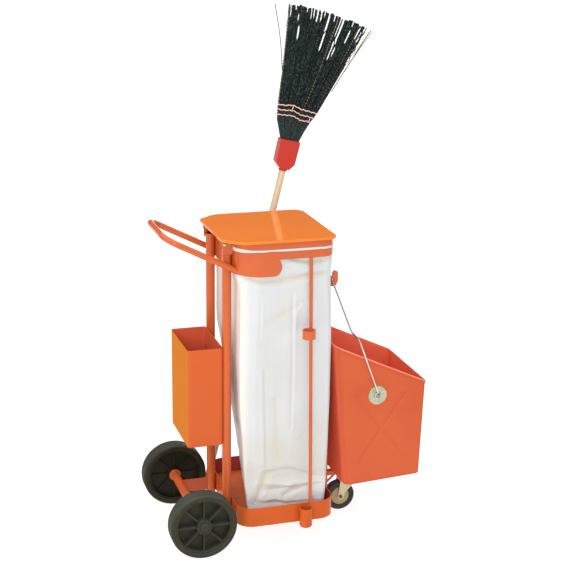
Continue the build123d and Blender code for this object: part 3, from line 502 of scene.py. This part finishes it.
# outline corners (x, y, radius) at each height: near rear, near chamfer end, near front, far front, far chamfer end, far rear
BAG_RIM = [(116.5, -121.5, 68), (163.5, -168, 68), (396, -168, 38), (396, 168, 38), (163.5, 168, 68), (116.5, 121.5, 68)]
BAND_OUT = [(111.8, -124, 75), (162.8, -175, 75), (403, -175, 42), (403, 175, 42), (162.8, 175, 75), (111.8, 124, 75)]
BAG_SECTIONS = [
    (79.0, [(155, -134, 10), (176, -146, 14), (396, -147, 16), (389, 132, 34), (217, 130, 14), (207, 104, 10)]),
    (130.0, [(149, -137, 8), (172, -153, 16), (398, -154, 16), (392, 142, 34), (206, 138, 14), (198, 106, 10)]),
    (250.0, [(137, -139, 8), (166, -160, 18), (399, -160, 18), (395, 150, 34), (190, 146, 14), (180, 107, 10)]),
    (430.0, [(126, -138, 8), (162, -165, 20), (400, -165, 22), (397, 158, 36), (166, 153, 14), (153, 107, 10)]),
    (640.0, [(126, -137, 8), (163, -168, 24), (398.5, -168, 28), (397.5, 164, 38), (150, 160, 20), (119, 114, 12)]),
    (800.0, [(127, -134, 12), (165, -168, 26), (396, -168, 36), (396, 168, 40), (165, 168, 30), (118, 116, 14)]),
    (836.0, BAG_RIM),
    (908.0, BAG_RIM),
]
_sz = np.array([k[0] for k in BAG_SECTIONS])
_sv = np.array([k[1] for k in BAG_SECTIONS], float)


def section(z):
    """Corners at height z, with the changes of slope between the given heights eased."""
    def lin(h):
        return np.array([[np.interp(h, _sz, _sv[:, i, j]) for j in range(3)] for i in range(6)])
    if z >= 800:
        return lin(z)
    w = min(34.0, 800 - z, max(z - 79.0, 0.0))
    return (lin(z - w) + lin(z - w / 2) + lin(z) + lin(z + w / 2) + lin(z + w)) / 5


def outline(corners):
    """Points and outward normals round an outline, with fixed counts along each run."""
    runs = [18, 84, 64, 52, 16, 60]
    n = len(corners)
    arcs = []
    for k in range(n):
        p = np.array(corners[k][:2]); a = np.array(corners[k - 1][:2]); b = np.array(corners[(k + 1) % n][:2]); r = corners[k][2]
        u = (a - p) / np.linalg.norm(a - p); v = (b - p) / np.linalg.norm(b - p)
        half = math.acos(np.clip(u @ v, -1, 1)) / 2
        t = r / math.tan(half)
        c = p + (u + v) / np.linalg.norm(u + v) * (r / math.sin(half))
        s, e = p + u * t, p + v * t
        a0 = math.atan2(*(s - c)[::-1]); a1 = math.atan2(*(e - c)[::-1])
        d = (a1 - a0 + math.pi) % (2 * math.pi) - math.pi
        m = 14 if k in (2, 3) else 10
        arcs.append([(c + r * np.array([math.cos(a0 + d * j / m), math.sin(a0 + d * j / m)]),
                      np.array([math.cos(a0 + d * j / m), math.sin(a0 + d * j / m)])) for j in range(m + 1)])
    pts, nor = [], []
    for k in range(n):
        for q, m_ in arcs[k]:
            pts.append(q); nor.append(m_)
        s = arcs[k][-1][0]; e = arcs[(k + 1) % n][0][0]; m_ = arcs[k][-1][1]
        for j in range(1, runs[k]):
            pts.append(s + (e - s) * j / runs[k]); nor.append(m_)
    return np.array(pts), np.array(nor)


def seg_dist(px, pz, a, b):
    """Distance to a segment and the place along it."""
    ax, az = a; bx, bz = b
    dx, dz = bx - ax, bz - az
    L2 = dx * dx + dz * dz
    t = np.clip(((px - ax) * dx + (pz - az) * dz) / L2, 0, 1)
    side = np.sign((px - ax) * dz - (pz - az) * dx)
    return np.hypot(px - (ax + t * dx), pz - (az + t * dz)), t, side


def fold(px, pz, line, width, depth, end=0.12):
    """A crease along a line of points: a soft ridge (depth over 0) or valley (under 0)."""
    out = np.zeros_like(px)
    n = len(line) - 1
    for k in range(n):
        d, t, _ = seg_dist(px, pz, line[k], line[k + 1])
        f = np.ones_like(t)
        if k == 0:
            f *= smooth(0, end, t)
        if k == n - 1:
            f *= smooth(0, end, 1 - t)
        v = depth * f * np.exp(-np.abs(d / width) ** 1.35)
        out = np.where(np.abs(v) > np.abs(out), v, out)
    return out


def bag():
    zs = np.concatenate([np.linspace(80.5, 150, 44)[:-1], np.linspace(150, 270, 70)[:-1], np.linspace(270, 750, 110)[:-1],
                         np.linspace(750, 909, 64)])
    rings, norms = [], []
    for z in zs:
        p, q = outline(section(z))
        rings.append(np.column_stack([p, np.full(len(p), z)]))
        norms.append(np.column_stack([q, np.zeros(len(q))]))
    P = np.array(rings); Nn = np.array(norms)
    R, M = P.shape[:2]
    p = P.reshape(-1, 3); nn = Nn.reshape(-1, 3)
    x, y, z = p.T
    # slack cloth: how far the wall may move, nothing at the clamped mouth
    slack = smooth(905, 850, z)
    low = smooth(300, 110, z)
    near = smooth(-0.45, -0.92, nn[:, 1])
    front = smooth(0.5, 0.95, nn[:, 0])
    rear = smooth(-0.55, -0.95, nn[:, 0])
    # broad sag and vertical pleats that drift, quieter on the stretched right side
    calm = 1 - 0.62 * near
    warp = 26 * gnoise(np.column_stack([x * 0.004, y * 0.004, z * 0.006]) + 7.3)
    pl = gnoise(np.column_stack([(x + warp) * 0.030, (y + warp) * 0.030, z * 0.0022]))
    pl2 = gnoise(np.column_stack([(x + warp) * 0.062, (y - warp) * 0.062, z * 0.0045]) + 31.7)
    broad = gnoise(np.column_stack([x * 0.011, y * 0.011, z * 0.0075]) + 3.1)
    ridge = 0.5 - np.abs(pl)
    d = slack * (-1.6 + 3.0 * broad + calm * (3.0 * (ridge - 0.32) + 1.4 * pl2))
    # crumpled facets, stronger low down
    c1 = gnoise(np.column_stack([x * 0.020 + 0.4 * pl, y * 0.020, z * 0.017]) + 51.0)
    c2 = gnoise(np.column_stack([x * 0.045, y * 0.045 + 0.3 * c1, z * 0.040]) + 77.0)
    d += slack * calm * (0.8 + 2.6 * low) * (1.1 * (0.42 - np.abs(c1)) + 0.5 * (0.4 - np.abs(c2)))
    d -= slack * 3.0 * front
    # drawn folds on the right side, in x and z
    g = np.zeros_like(x)

    def f(line, w, dep, e=0.12):
        return near * fold(x, z, line, w, dep, e)
    # swag below the deep part of the band
    g += f([(250, 892), (281, 877), (326, 866), (392, 872)], 7, -5.0)
    g += f([(236, 880), (281, 864), (326, 850), (352, 846)], 6, 2.6)
    g += f([(222, 848), (281, 842), (331, 840), (392, 844)], 7, 3.0)
    g += f([(128, 832), (173, 818), (237, 816), (307, 823), (386, 831)], 9, -5.5)
    g += f([(150, 799), (245, 793), (314, 805), (384, 816)], 10, 2.2)
    # long hanging folds
    g += f([(275, 780), (277, 544), (276, 345)], 3.6, -2.0)
    g += f([(284, 780), (286, 544), (283, 330)], 6, 1.6)
    g += f([(312, 748), (288, 716), (282, 640)], 5, 1.6)
    g += f([(190, 690), (278, 730), (316, 752)], 9, -1.8)
    g += f([(181, 760), (178, 640)], 4, -1.5)
    g += f([(186, 770), (184, 640)], 6, 1.3)
    g += f([(192, 560), (198, 396), (203, 232)], 4.5, -2.4)
    g += f([(183, 560), (189, 396), (194, 240)], 7, 1.8)
    g += f([(226, 470), (236, 340), (240, 244)], 14, -2.4)
    g += f([(300, 330), (322, 306), (350, 300)], 12, -1.6)
    # tucked foot: flat facets that lean out downwards, each ended by a short undercut
    foot = near * smooth(256, 236, z)
    g += f([(140, 262), (204, 250), (262, 246), (330, 232), (392, 214)], 16, 1.6)
    lev = [np.interp(x, [150, 206, 246, 280, 306, 333, 392], k) for k in (
        [236, 232, 238, 236, 225, 212, 196],
        [222, 218, 229, 227, 215, 202, 186])]
    und = np.interp(x, [150, 196, 250, 271, 300, 330, 392], [190, 189, 178, 172, 176, 176, 172])
    cut = np.interp(x, [150, 200, 250, 271, 284, 300, 330, 392], [178, 167, 164, 168, 158, 155, 166, 168])
    mid = np.interp(x, [150, 198, 228, 254, 266, 300, 335, 392], [132, 131, 134, 126, 121, 121, 120, 115])
    bot = np.interp(x, [150, 198, 228, 254, 266, 300, 335, 392], [120, 121, 120, 117, 111, 111, 111, 107])
    stepz = np.stack([np.full_like(x, 60.0), bot, mid, cut, und, lev[1], lev[0], np.full_like(x, 300.0)])
    stepd = np.stack([np.full_like(x, v_) for v_ in (1.8, -2.0, 2.0, -1.8, 2.2, -1.6, 0.6, 0.0)])
    prof = np.zeros_like(x)
    for k in range(len(stepz) - 1):
        t = (z - stepz[k]) / (stepz[k + 1] - stepz[k])
        prof = np.where((t >= 0) & (t < 1), stepd[k] + (stepd[k + 1] - stepd[k]) * t, prof)
    tuck = np.interp(x, [168, 200, 214, 270, 320, 352, 388], [0.15, 0.55, 1.0, 1.0, 0.9, 0.55, 0.35])
    bump_ = foot * tuck * prof
    # under: the undercuts and wedges that take painted shade
    under = np.zeros_like(x)
    for lo_, hi_ in ((bot, mid), (cut, und), (lev[1], lev[0])):
        under = np.maximum(under, smooth(0.0, 0.25, (z - lo_) / (hi_ - lo_)) * smooth(1.0, 0.8, (z - lo_) / (hi_ - lo_)))
    under *= foot * tuck
    # the flap folded round the rear corner, and the gusset that runs up from its foot
    bump_ += f([(188, 234), (173, 186), (149, 116)], 7, 1.8, 0.05)
    bump_ += f([(206, 232), (195, 186), (170, 124)], 9, -2.4, 0.05)
    bump_ += f([(222, 214), (214, 176), (188, 132)], 8, 1.4, 0.05)
    bump_ += f([(303, 168), (280, 154), (254, 136)], 7, -2.2, 0.08)
    bump_ += f([(300, 186), (272, 171), (246, 152)], 9, 1.2, 0.08)
    bump_ += f([(318, 150), (296, 140), (276, 126)], 9, 1.2, 0.08)
    under = np.maximum(under, f([(199, 234), (189, 190), (163, 120)], 13, 1.25, 0.05))
    # two wedges of shade below the facets
    for xa, xb, za, zb, ha, hb in ((196, 274, 179, 169, 12, 0.6), (302, 252, 164, 137, 9, 0.6)):
        k = (x - xa) / (xb - xa)
        inside = (k > -0.04) & (k < 1.0)
        off = np.abs(z - (za + (zb - za) * k)) / np.maximum(ha + (hb - ha) * k, 0.5)
        under = np.maximum(under, near * np.where(inside, 1.1 * smooth(1.25, 0.7, off), 0.0))
    under = np.maximum(under, f([(240, 330), (246, 290), (236, 246)], 26, 0.45, 0.2))
    under = np.maximum(under, f([(210, 244), (250, 246), (300, 236)], 10, 0.7, 0.1))
    g += f([(344, 196), (336, 160), (342, 122)], 6, -2.2)
    g += f([(352, 196), (346, 160), (352, 122)], 8, 1.8)
    d += g + bump_
    # rear face: one soft fold that leans with the tapered far corner
    d -= slack * rear * 3.0 * np.exp(-((y - np.interp(z, [80, 430, 800], [-20, 10, 20])) / 34.0) ** 2)
    d = np.clip(d, -14.0, 6.5)
    # the right front corner is drawn outwards between the rods, more so just below the band
    nf = smooth(0.10, 0.55, nn[:, 0]) * smooth(-106, -124, y)
    d = d * (1 - 0.7 * nf) + nf * (np.interp(z, [80, 200, 300, 480, 600, 840], [-2.5, -1.5, 0.6, 2.6, 4.4, 4.4]) + 2.8 * np.exp(-((z - 860) / 24.0) ** 2)) * smooth(900, 878, z) * smooth(80, 110, z)
    # the wall keeps off the rods and the band
    lim = np.interp(z, [79, 130, 430, 640, 800, 832, 909], [8.0, 6.5, 4.6, 3.6, 1.4, 0.5, 0.2])
    d = np.minimum(d, np.where((nn[:, 0] > 0.6) & (y > -118), np.minimum(lim, 0.1), np.maximum(lim, nf * 7.4)))
    drop = slack * (1.4 * gnoise(np.column_stack([x * 0.02, y * 0.02, z * 0.02]) + 90.0))
    q = p + nn * d[:, None]
    q[:, 2] += np.where((z > 84) & (z < 880), drop, 0.0)
    q = q.reshape(R, M, 3)
    # painted shade: darker where folds sink in and in the undercuts, stored as the crease attribute
    shade = np.clip(-(g + 0.6 * np.minimum(d - g - bump_, 0)) / 6.0 + 0.55 * under, 0, 1).reshape(R, M)
    # mouth: turned out over the band's top edge, its loose edge just outside the band
    top = q[-1]
    out, on_ = outline(BAND_OUT)
    out = out + 0.9 * on_
    xx = out[:, 0]
    wob = gnoise(np.column_stack([out[:, 0] * 0.021, out[:, 1] * 0.021, np.full(M, 5.5)]))
    wob2 = gnoise(np.column_stack([out[:, 0] * 0.06, out[:, 1] * 0.06, np.full(M, 9.1)]))
    corner = smooth(175, 128, xx) * smooth(96, 112, np.abs(out[:, 1]))
    hang = np.clip(3.4 + 1.8 * wob + 0.7 * wob2 + 4.2 * corner + 1.4 * smooth(340, 396, xx), 1.4, 9.0)
    lip, lipz = [], (910.4, 911.0, 911.2, 911.0, 910.3, 909.0)
    for fr, hz in zip((0.06, 0.30, 0.60, 0.86, 0.97, 1.0), lipz):
        r_ = np.column_stack([top[:, :2] + (out - top[:, :2]) * fr, hz - 0.5 * np.abs(wob2) * (fr > 0.2)])
        lip.append(r_)
    for k in (0.35, 0.7, 1.0):
        r_ = np.column_stack([out + on_ * (0.25 + 0.5 * np.abs(wob2)[:, None]) * k, 909.0 - hang * k])
        lip.append(r_)
    # floor of the bag: rings that draw in to the middle with soft radial folds
    cx, cy = 0.5 * (q[0][:, 0].min() + q[0][:, 0].max()), 0.0
    floor = []
    for k, f_ in enumerate((0.985, 0.95, 0.88, 0.76, 0.60, 0.42, 0.24, 0.10)):
        r_ = q[0].copy()
        r_[:, 0] = cx + (r_[:, 0] - cx) * f_
        r_[:, 1] = cy + (r_[:, 1] - cy) * f_
        r_[:, 2] = 79.9 + 1.4 * np.abs(gnoise(np.column_stack([r_[:, 0] * 0.04, r_[:, 1] * 0.04, np.full(M, 2.2)])))
        floor.append(r_)
    allr = floor[::-1] + [q[k] for k in range(R)] + lip
    tone = np.concatenate([np.full(len(floor) * M, 0.6), shade.ravel(), np.full(len(lip) * M, 0.0), [0.6]])
    V = np.concatenate(allr)
    K = len(allr)
    faces = []
    for k in range(K - 1):
        for j in range(M):
            a = k * M + j; b = k * M + (j + 1) % M
            faces.append((a, b, b + M, a + M))
    mid = len(V)
    V = np.vstack([V, [[cx, cy, 80.2]]])
    for j in range(M):
        faces.append((mid, (j + 1) % M, j))
    V = np.column_stack([(V[:, 0] - X_MID), V[:, 1], V[:, 2]]) / 1000.0
    ob = mesh_object("bag_shell", V, faces, "frame")
    at_ = ob.data.attributes.new("crease", "FLOAT", "POINT")
    at_.data.foreach_set("value", tone.astype(np.float32))
    ob.data.materials.append(BAG)
    mod = ob.modifiers.new("thickness", "SOLIDIFY")
    mod.thickness = 0.0005
    mod.offset = -1.0
    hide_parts("trash_bag")
    return ob


bag()


# ------------------------------------------------------------------ broom head

FAN_L = [(1136, -31), (1165, -44), (1190, -56), (1235, -65), (1338, -77), (1464, -96), (1532, -106)]
FAN_R = [(1136, 28), (1170, 38), (1203, 51), (1234, 66), (1328, 98), (1411, 126), (1517, 157)]


def fan_u(s, a):
    l = np.interp(a, [k[0] for k in FAN_L], [k[1] for k in FAN_L])
    r = np.interp(a, [k[0] for k in FAN_R], [k[1] for k in FAN_R])
    return l + (r - l) * (s + 1) / 2


def fan_top(s):
    return np.interp(s, [-1, -0.6, 0.0, 0.5, 1.0], [1538, 1540, 1536, 1531, 1518])


def on_broom(u, w, a):
    return BA + BE * (u / 1000.0) + BF * (w / 1000.0) + BD * (a / 1000.0)


# narrow gaps between the strands: upper end, lower end (across, along) and half width
SLITS = [
    ((-56, 1469), (-53, 1444), 3.0), ((-66, 1506), (-64, 1494), 2.6), ((-9, 1545), (-6, 1504), 3.3), ((4, 1545), (5, 1508), 3.2),
    ((30, 1526), (28.5, 1482), 3.6), ((28, 1470), (23, 1424), 3.3), ((-31.5, 1545), (-25, 1510), 2.9), ((-22.5, 1545), (-20, 1515), 2.7),
    ((-97, 1545), (-92, 1505), 3.0), ((72.4, 1545), (64, 1474), 3.2), ((80.5, 1545), (65.5, 1449), 3.4), ((65, 1450), (54.5, 1402), 3.2),
    ((70, 1433), (66, 1415), 2.8), ((104.5, 1492), (98, 1461), 3.0), ((132.5, 1504), (128, 1480), 3.0), ((141.5, 1496), (133, 1467), 3.2),
    ((155.5, 1530), (147.5, 1503), 3.0), ((130, 1426), (119, 1404), 3.0), ((128, 1418), (124, 1392), 2.8), ((-82, 1545), (-78, 1524), 2.6),
    ((50, 1545), (46, 1516), 2.8), ((112, 1540), (107, 1512), 2.8), ((15, 1545), (14, 1524), 2.4), ((-45, 1545), (-42, 1526), 2.4),
]
# how far a line of sight through the head drifts across per unit of depth
DRIFT = 0.356


def parted(us, ws, along):
    """Moves one strand sideways out of the gaps; us, ws and along are its places across, through and along the head."""
    out = us.copy()
    for (ua, aa), (ub, ab), hw in SLITS:
        mid = 0.5 * (aa + ab)
        if along[-1] < ab - 14:
            continue
        line = ub + (ua - ub) * (along - ab) / (aa - ab) + DRIFT * ws
        k = int(np.argmin(np.abs(along - min(mid, along[-1]))))
        side = 1.0 if us[k] >= line[k] else -1.0
        off = side * (out - line)
        g = smooth(ab - 16, ab + 3, along) * smooth(aa + 14, aa - 3, along)
        out = out + side * g * np.clip(hw * (1 - off / (3.2 * hw)), 0.0, 2.2 * hw)
    return out


def bristles():
    rnd = random.Random(19)
    verts, faces, tones = [], [], []
    count = 700
    n_c = 30
    clumps = [(-1 + 2 * (k + 0.5) / n_c + rnd.uniform(-0.014, 0.014)) for k in range(n_c)]
    jag = [rnd.uniform(0.0, 7.5) for k in range(n_c)]
    for k in range(count):
        s0 = -1 + 2 * (k + rnd.random()) / count
        s0 = max(-0.985, min(0.985, s0))
        ci = min(range(n_c), key=lambda v: abs(clumps[v] - s0))
        s1 = s0 + (clumps[ci] - s0) * rnd.uniform(0.15, 0.5) + rnd.gauss(0, 0.006)
        s1 = max(-0.99, min(0.99, s1))
        w0 = rnd.uniform(-13.5, 13.5) * math.sqrt(max(0.06, 1 - abs(s0) ** 6))
        w1 = w0 * 0.46 + rnd.gauss(0, 0.7)
        top = float(fan_top(s1)) - jag[ci] - abs(rnd.gauss(0, 2.6)) - (rnd.random() < 0.07) * rnd.uniform(4, 24)
        a0 = 1128.0
        wl = rnd.uniform(8.6, 10.4)
        ph = rnd.uniform(0, 6.28)
        amp = rnd.uniform(0.65, 1.15)
        steps = int((top - a0) / 2.9)
        al = a0 + (top - a0) * np.arange(steps + 1) / steps
        t = np.clip((al - 1240) / 290.0, 0.0, 1.0)
        ss = s0 + (s1 - s0) * t ** 1.2
        grow = 0.35 + 0.65 * np.clip((al - 1150) / 80, 0.0, 1.0)
        squeeze = np.interp(al, [1128, 1150, 1200, 1236, 1300, 1540], [0.86, 1.0, 0.96, 0.96, 1.05, 1.0])
        us = fan_u(ss, al) * 0.985
        ws = (w0 + (w1 - w0) * t) * squeeze
        us = parted(us, ws, al)
        us = us + amp * grow * np.sin(2 * math.pi * al / wl + ph)
        ws = ws + amp * grow * 0.8 * np.cos(2 * math.pi * al / wl + ph)
        pts = [on_broom(float(u), float(w), float(a)) for u, w, a in zip(us, ws, al)]
        r = rnd.uniform(0.95, 1.3) / 1000.0
        tone = rnd.uniform(0.05, 0.85)
        if rnd.random() < 0.010:
            tone = 1.0
        tube(pts, [r] * len(pts), 5, verts, faces, rnd.uniform(0, 1), tones, tone)
    # loose strands at both edges
    loose = [((-77, 1337), (-146, 1524), 1.35, 5.0, 0.885), ((-97, 1462), (-104, 1537), 1.0, 2.0, 0.97), ((-88, 1462), (-95, 1536), 1.0, -1.0, 0.97),
             ((94, 1305), (172, 1512), 1.35, -1.0, 0.88), ((120, 1372), (178, 1511), 1.15, -2.0, 0.97), ((124, 1386), (166, 1506), 0.95, -2.0, 0.97)]
    for (u0, a0), (u1, a1), r, bow, tone in loose:
        pts = []
        for j in range(30):
            t = j / 29
            pts.append(on_broom(u0 + (u1 - u0) * t + bow * math.sin(math.pi * t), 2.0 * math.sin(3 * t + u0), a0 + (a1 - a0) * t))
        tube(pts, [r / 1000.0] * 30, 6, verts, faces, 0.0, tones, tone)
    # crossed, kinked strands near the right edge
    for k in range(12):
        a0 = 1374 + rnd.uniform(-8, 66)
        s0 = rnd.uniform(0.86, 0.98)
        pts = []
        for j in range(26):
            a = a0 + 70 * j / 25
            u = float(fan_u(s0, a)) + 2.6 * math.sin(a / 5.2 + k) + 3 * (j / 25)
            pts.append(on_broom(u, rnd.uniform(-1, 1) * 0.6 + (k - 6) * 0.8, a))
        tube(pts, [0.0009] * 26, 5, verts, faces, 0.0, tones, 0.96 if k % 3 == 1 else 0.6)
    ob = mesh_object("bristle_fan", verts, faces, "broom")
    at_ = ob.data.attributes.new("tone", "FLOAT", "POINT")
    at_.data.foreach_set("value", np.array(tones, np.float32))
    # strands paler below the stitching
    zs = np.array([v[2] for v in verts], np.float64)
    z_st = on_broom(0.0, 0.0, 1236.0)[2]
    lo_ = ob.data.attributes.new("low", "FLOAT", "POINT")
    lo_.data.foreach_set("value", (0.85 * np.clip((z_st - zs) / 0.025, 0.0, 1.0)).astype(np.float32))
    ob.data.materials.append(BRISTLE)
    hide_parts("broom_bristles")
    return ob


def stitching():
    rnd = random.Random(5)
    verts, faces, tones = [], [], []
    for row, (a_l, a_r) in enumerate(((1205, 1202), (1220, 1217), (1235, 1233))):
        for side in (-1, 1):
            pts = []
            n = 90
            for j in range(n + 1):
                s = -1.0 + 2.0 * j / n
                a = a_l + (a_r - a_l) * j / n + 7.0 * math.exp(-((s + 0.35) / 0.42) ** 2)
                a += 0.9 * math.sin(j * 0.55 + row * 2 + side) + 0.7 * math.sin(j * 0.19 + row)
                edge = math.sqrt(max(0.0, 1 - abs(s) ** 8))
                w = side * (16.9 * edge + 0.4 * math.sin(j * 1.4 + row) + 0.2)
                u = float(fan_u(s, a)) + s * 1.2
                pts.append(on_broom(u, w, a))
            tube(pts, [0.0015 + 0.00018 * math.sin(j * 2.1) for j in range(n + 1)], 7, verts, faces, 0.0, tones, 0.5 + 0.1 * row)
    # a short stitch across two rows and the tied end
    for u0, a0, u1, a1 in ((-22, 1227, -20, 1241), (38, 1203, 41, 1213)):
        for side in (-1, 1):
            pts = [on_broom(u0 + (u1 - u0) * t, side * (17.2 + 1.2 * math.sin(math.pi * t)), a0 + (a1 - a0) * t) for t in [k / 9 for k in range(10)]]
            tube(pts, [0.0012] * 10, 7, verts, faces, 0.0, tones, 0.6)
    ob = mesh_object("stitch_cords", verts, faces, "broom")
    at_ = ob.data.attributes.new("tone", "FLOAT", "POINT")
    at_.data.foreach_set("value", np.array(tones, np.float32))
    ob.data.materials.append(STITCH)
    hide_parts("broom_stitching")
    return ob


bristles()
stitching()


# ------------------------------------------------------------------ floor, light, camera

def floor():
    verts, faces = [], []
    rings = [0.0, 1.0, 2.5, 6.0, 14.0, 40.0, 90.0]
    n = 48
    verts.append((0, 0, 0))
    for r in rings[1:]:
        for k in range(n):
            a = 2 * math.pi * k / n
            verts.append((r * math.cos(a), r * math.sin(a), 0))
    for k in range(n):
        faces.append((0, 1 + k, 1 + (k + 1) % n))
    for i in range(len(rings) - 2):
        for k in range(n):
            a = 1 + i * n + k; b = 1 + i * n + (k + 1) % n
            faces.append((a, a + n, b + n, b))
    me = bpy.data.meshes.new("studio_floor")
    me.from_pydata(verts, [], faces)
    ob = bpy.data.objects.new("studio_floor", me)
    bpy.context.scene.collection.objects.link(ob)
    s = Mat("studio_floor")
    col = s.ramp(s.noise(3.0, 3.0, 0.5), [(0.3, (0.28, 0.28, 0.28)), (0.7, (0.31, 0.31, 0.31))])
    r = s.span(s.noise(40.0, 3.0, 0.5), 0.3, 0.7, 0.75, 0.85)
    me.materials.append(s.out(col, r, Specular_IOR_Level=0.0, Emission_Color=(1.0, 1.0, 1.0, 1.0), Emission_Strength=0.86))


floor()

world = bpy.data.worlds.new("studio")
bpy.context.scene.world = world
world.use_nodes = True
wt = world.node_tree
bg = wt.nodes["Background"]
wtc = wt.nodes.new("ShaderNodeTexCoord")
wsep = wt.nodes.new("ShaderNodeSeparateXYZ")
wt.links.new(wtc.outputs["Generated"], wsep.inputs[0])
wr = wt.nodes.new("ShaderNodeValToRGB")
wr.color_ramp.elements[0].position = 0.42
wr.color_ramp.elements[0].color = (0.085, 0.085, 0.085, 1.0)
wr.color_ramp.elements[1].position = 0.78
wr.color_ramp.elements[1].color = (1.0, 1.0, 1.0, 1.0)
wt.links.new(wsep.outputs["Z"], wr.inputs["Fac"])
wbw = wt.nodes.new("ShaderNodeRGBToBW")
wt.links.new(wr.outputs["Color"], wbw.inputs[0])
wfr = wt.nodes.new("ShaderNodeMapRange")
wfr.inputs["From Min"].default_value = 0.30
wfr.inputs["From Max"].default_value = -0.25
wfr.inputs["To Min"].default_value = 0.0
wfr.inputs["To Max"].default_value = 0.14
wt.links.new(wsep.outputs["Y"], wfr.inputs["Value"])
wmx = wt.nodes.new("ShaderNodeMath")
wmx.operation = "MAXIMUM"
wt.links.new(wbw.outputs[0], wmx.inputs[0])
wt.links.new(wfr.outputs["Result"], wmx.inputs[1])
wt.links.new(wmx.outputs[0], bg.inputs["Color"])
bg.inputs["Strength"].default_value = 1.85


def area(name, loc, target, size, power, color=(1, 1, 1)):
    la = bpy.data.lights.new(name, "AREA")
    la.shape = "RECTANGLE"
    la.size, la.size_y = size
    la.energy = power
    la.color = color
    ob = bpy.data.objects.new(name, la)
    bpy.context.scene.collection.objects.link(ob)
    ob.location = loc
    ob.rotation_euler = (Vector(target) - Vector(loc)).to_track_quat("-Z", "Y").to_euler()
    return ob


area("key", (-4.0, -1.1, 1.8), (0.0, 0.0, 0.6), (1.8, 2.6), 9.0, (1.0, 0.98, 0.93))
area("strip", (-3.4, -0.9, 1.25), (0.0, 0.0, 0.7), (0.14, 2.0), 16.0)
area("top_strip", (-0.4, -1.2, 3.2), (-0.1, 0.0, 0.9), (1.6, 0.09), 8.0)
area("front", (-1.7, -4.3, 2.1), (0.0, 0.0, 0.6), (1.5, 1.5), 80.0)
area("far_fill", (0.9, 3.4, 0.50), (0.15, 0.0, 0.45), (3.0, 0.75), 14.0)

yaw, pitch, roll = 0.304, 0.286, 0.012
fw = Vector((math.sin(yaw) * math.cos(pitch), math.cos(yaw) * math.cos(pitch), -math.sin(pitch)))
right = Vector((math.cos(yaw), -math.sin(yaw), 0.0))
up = right.cross(fw)
r2 = right * math.cos(roll) + up * math.sin(roll)
u2 = up * math.cos(roll) - right * math.sin(roll)
cam = bpy.data.cameras.new("camera")
cam.sensor_width = 36.0
cam.sensor_fit = "HORIZONTAL"
cam.lens = 86.81
cam.clip_end = 200.0
cam_ob = bpy.data.objects.new("camera", cam)
bpy.context.scene.collection.objects.link(cam_ob)
m = Matrix((r2, u2, -fw)).transposed().to_4x4()
m.translation = Vector((-1.176054, -3.732497, 1.907154))
cam_ob.matrix_world = m
bpy.context.scene.camera = cam_ob
bpy.context.scene.view_settings.view_transform = "Standard"
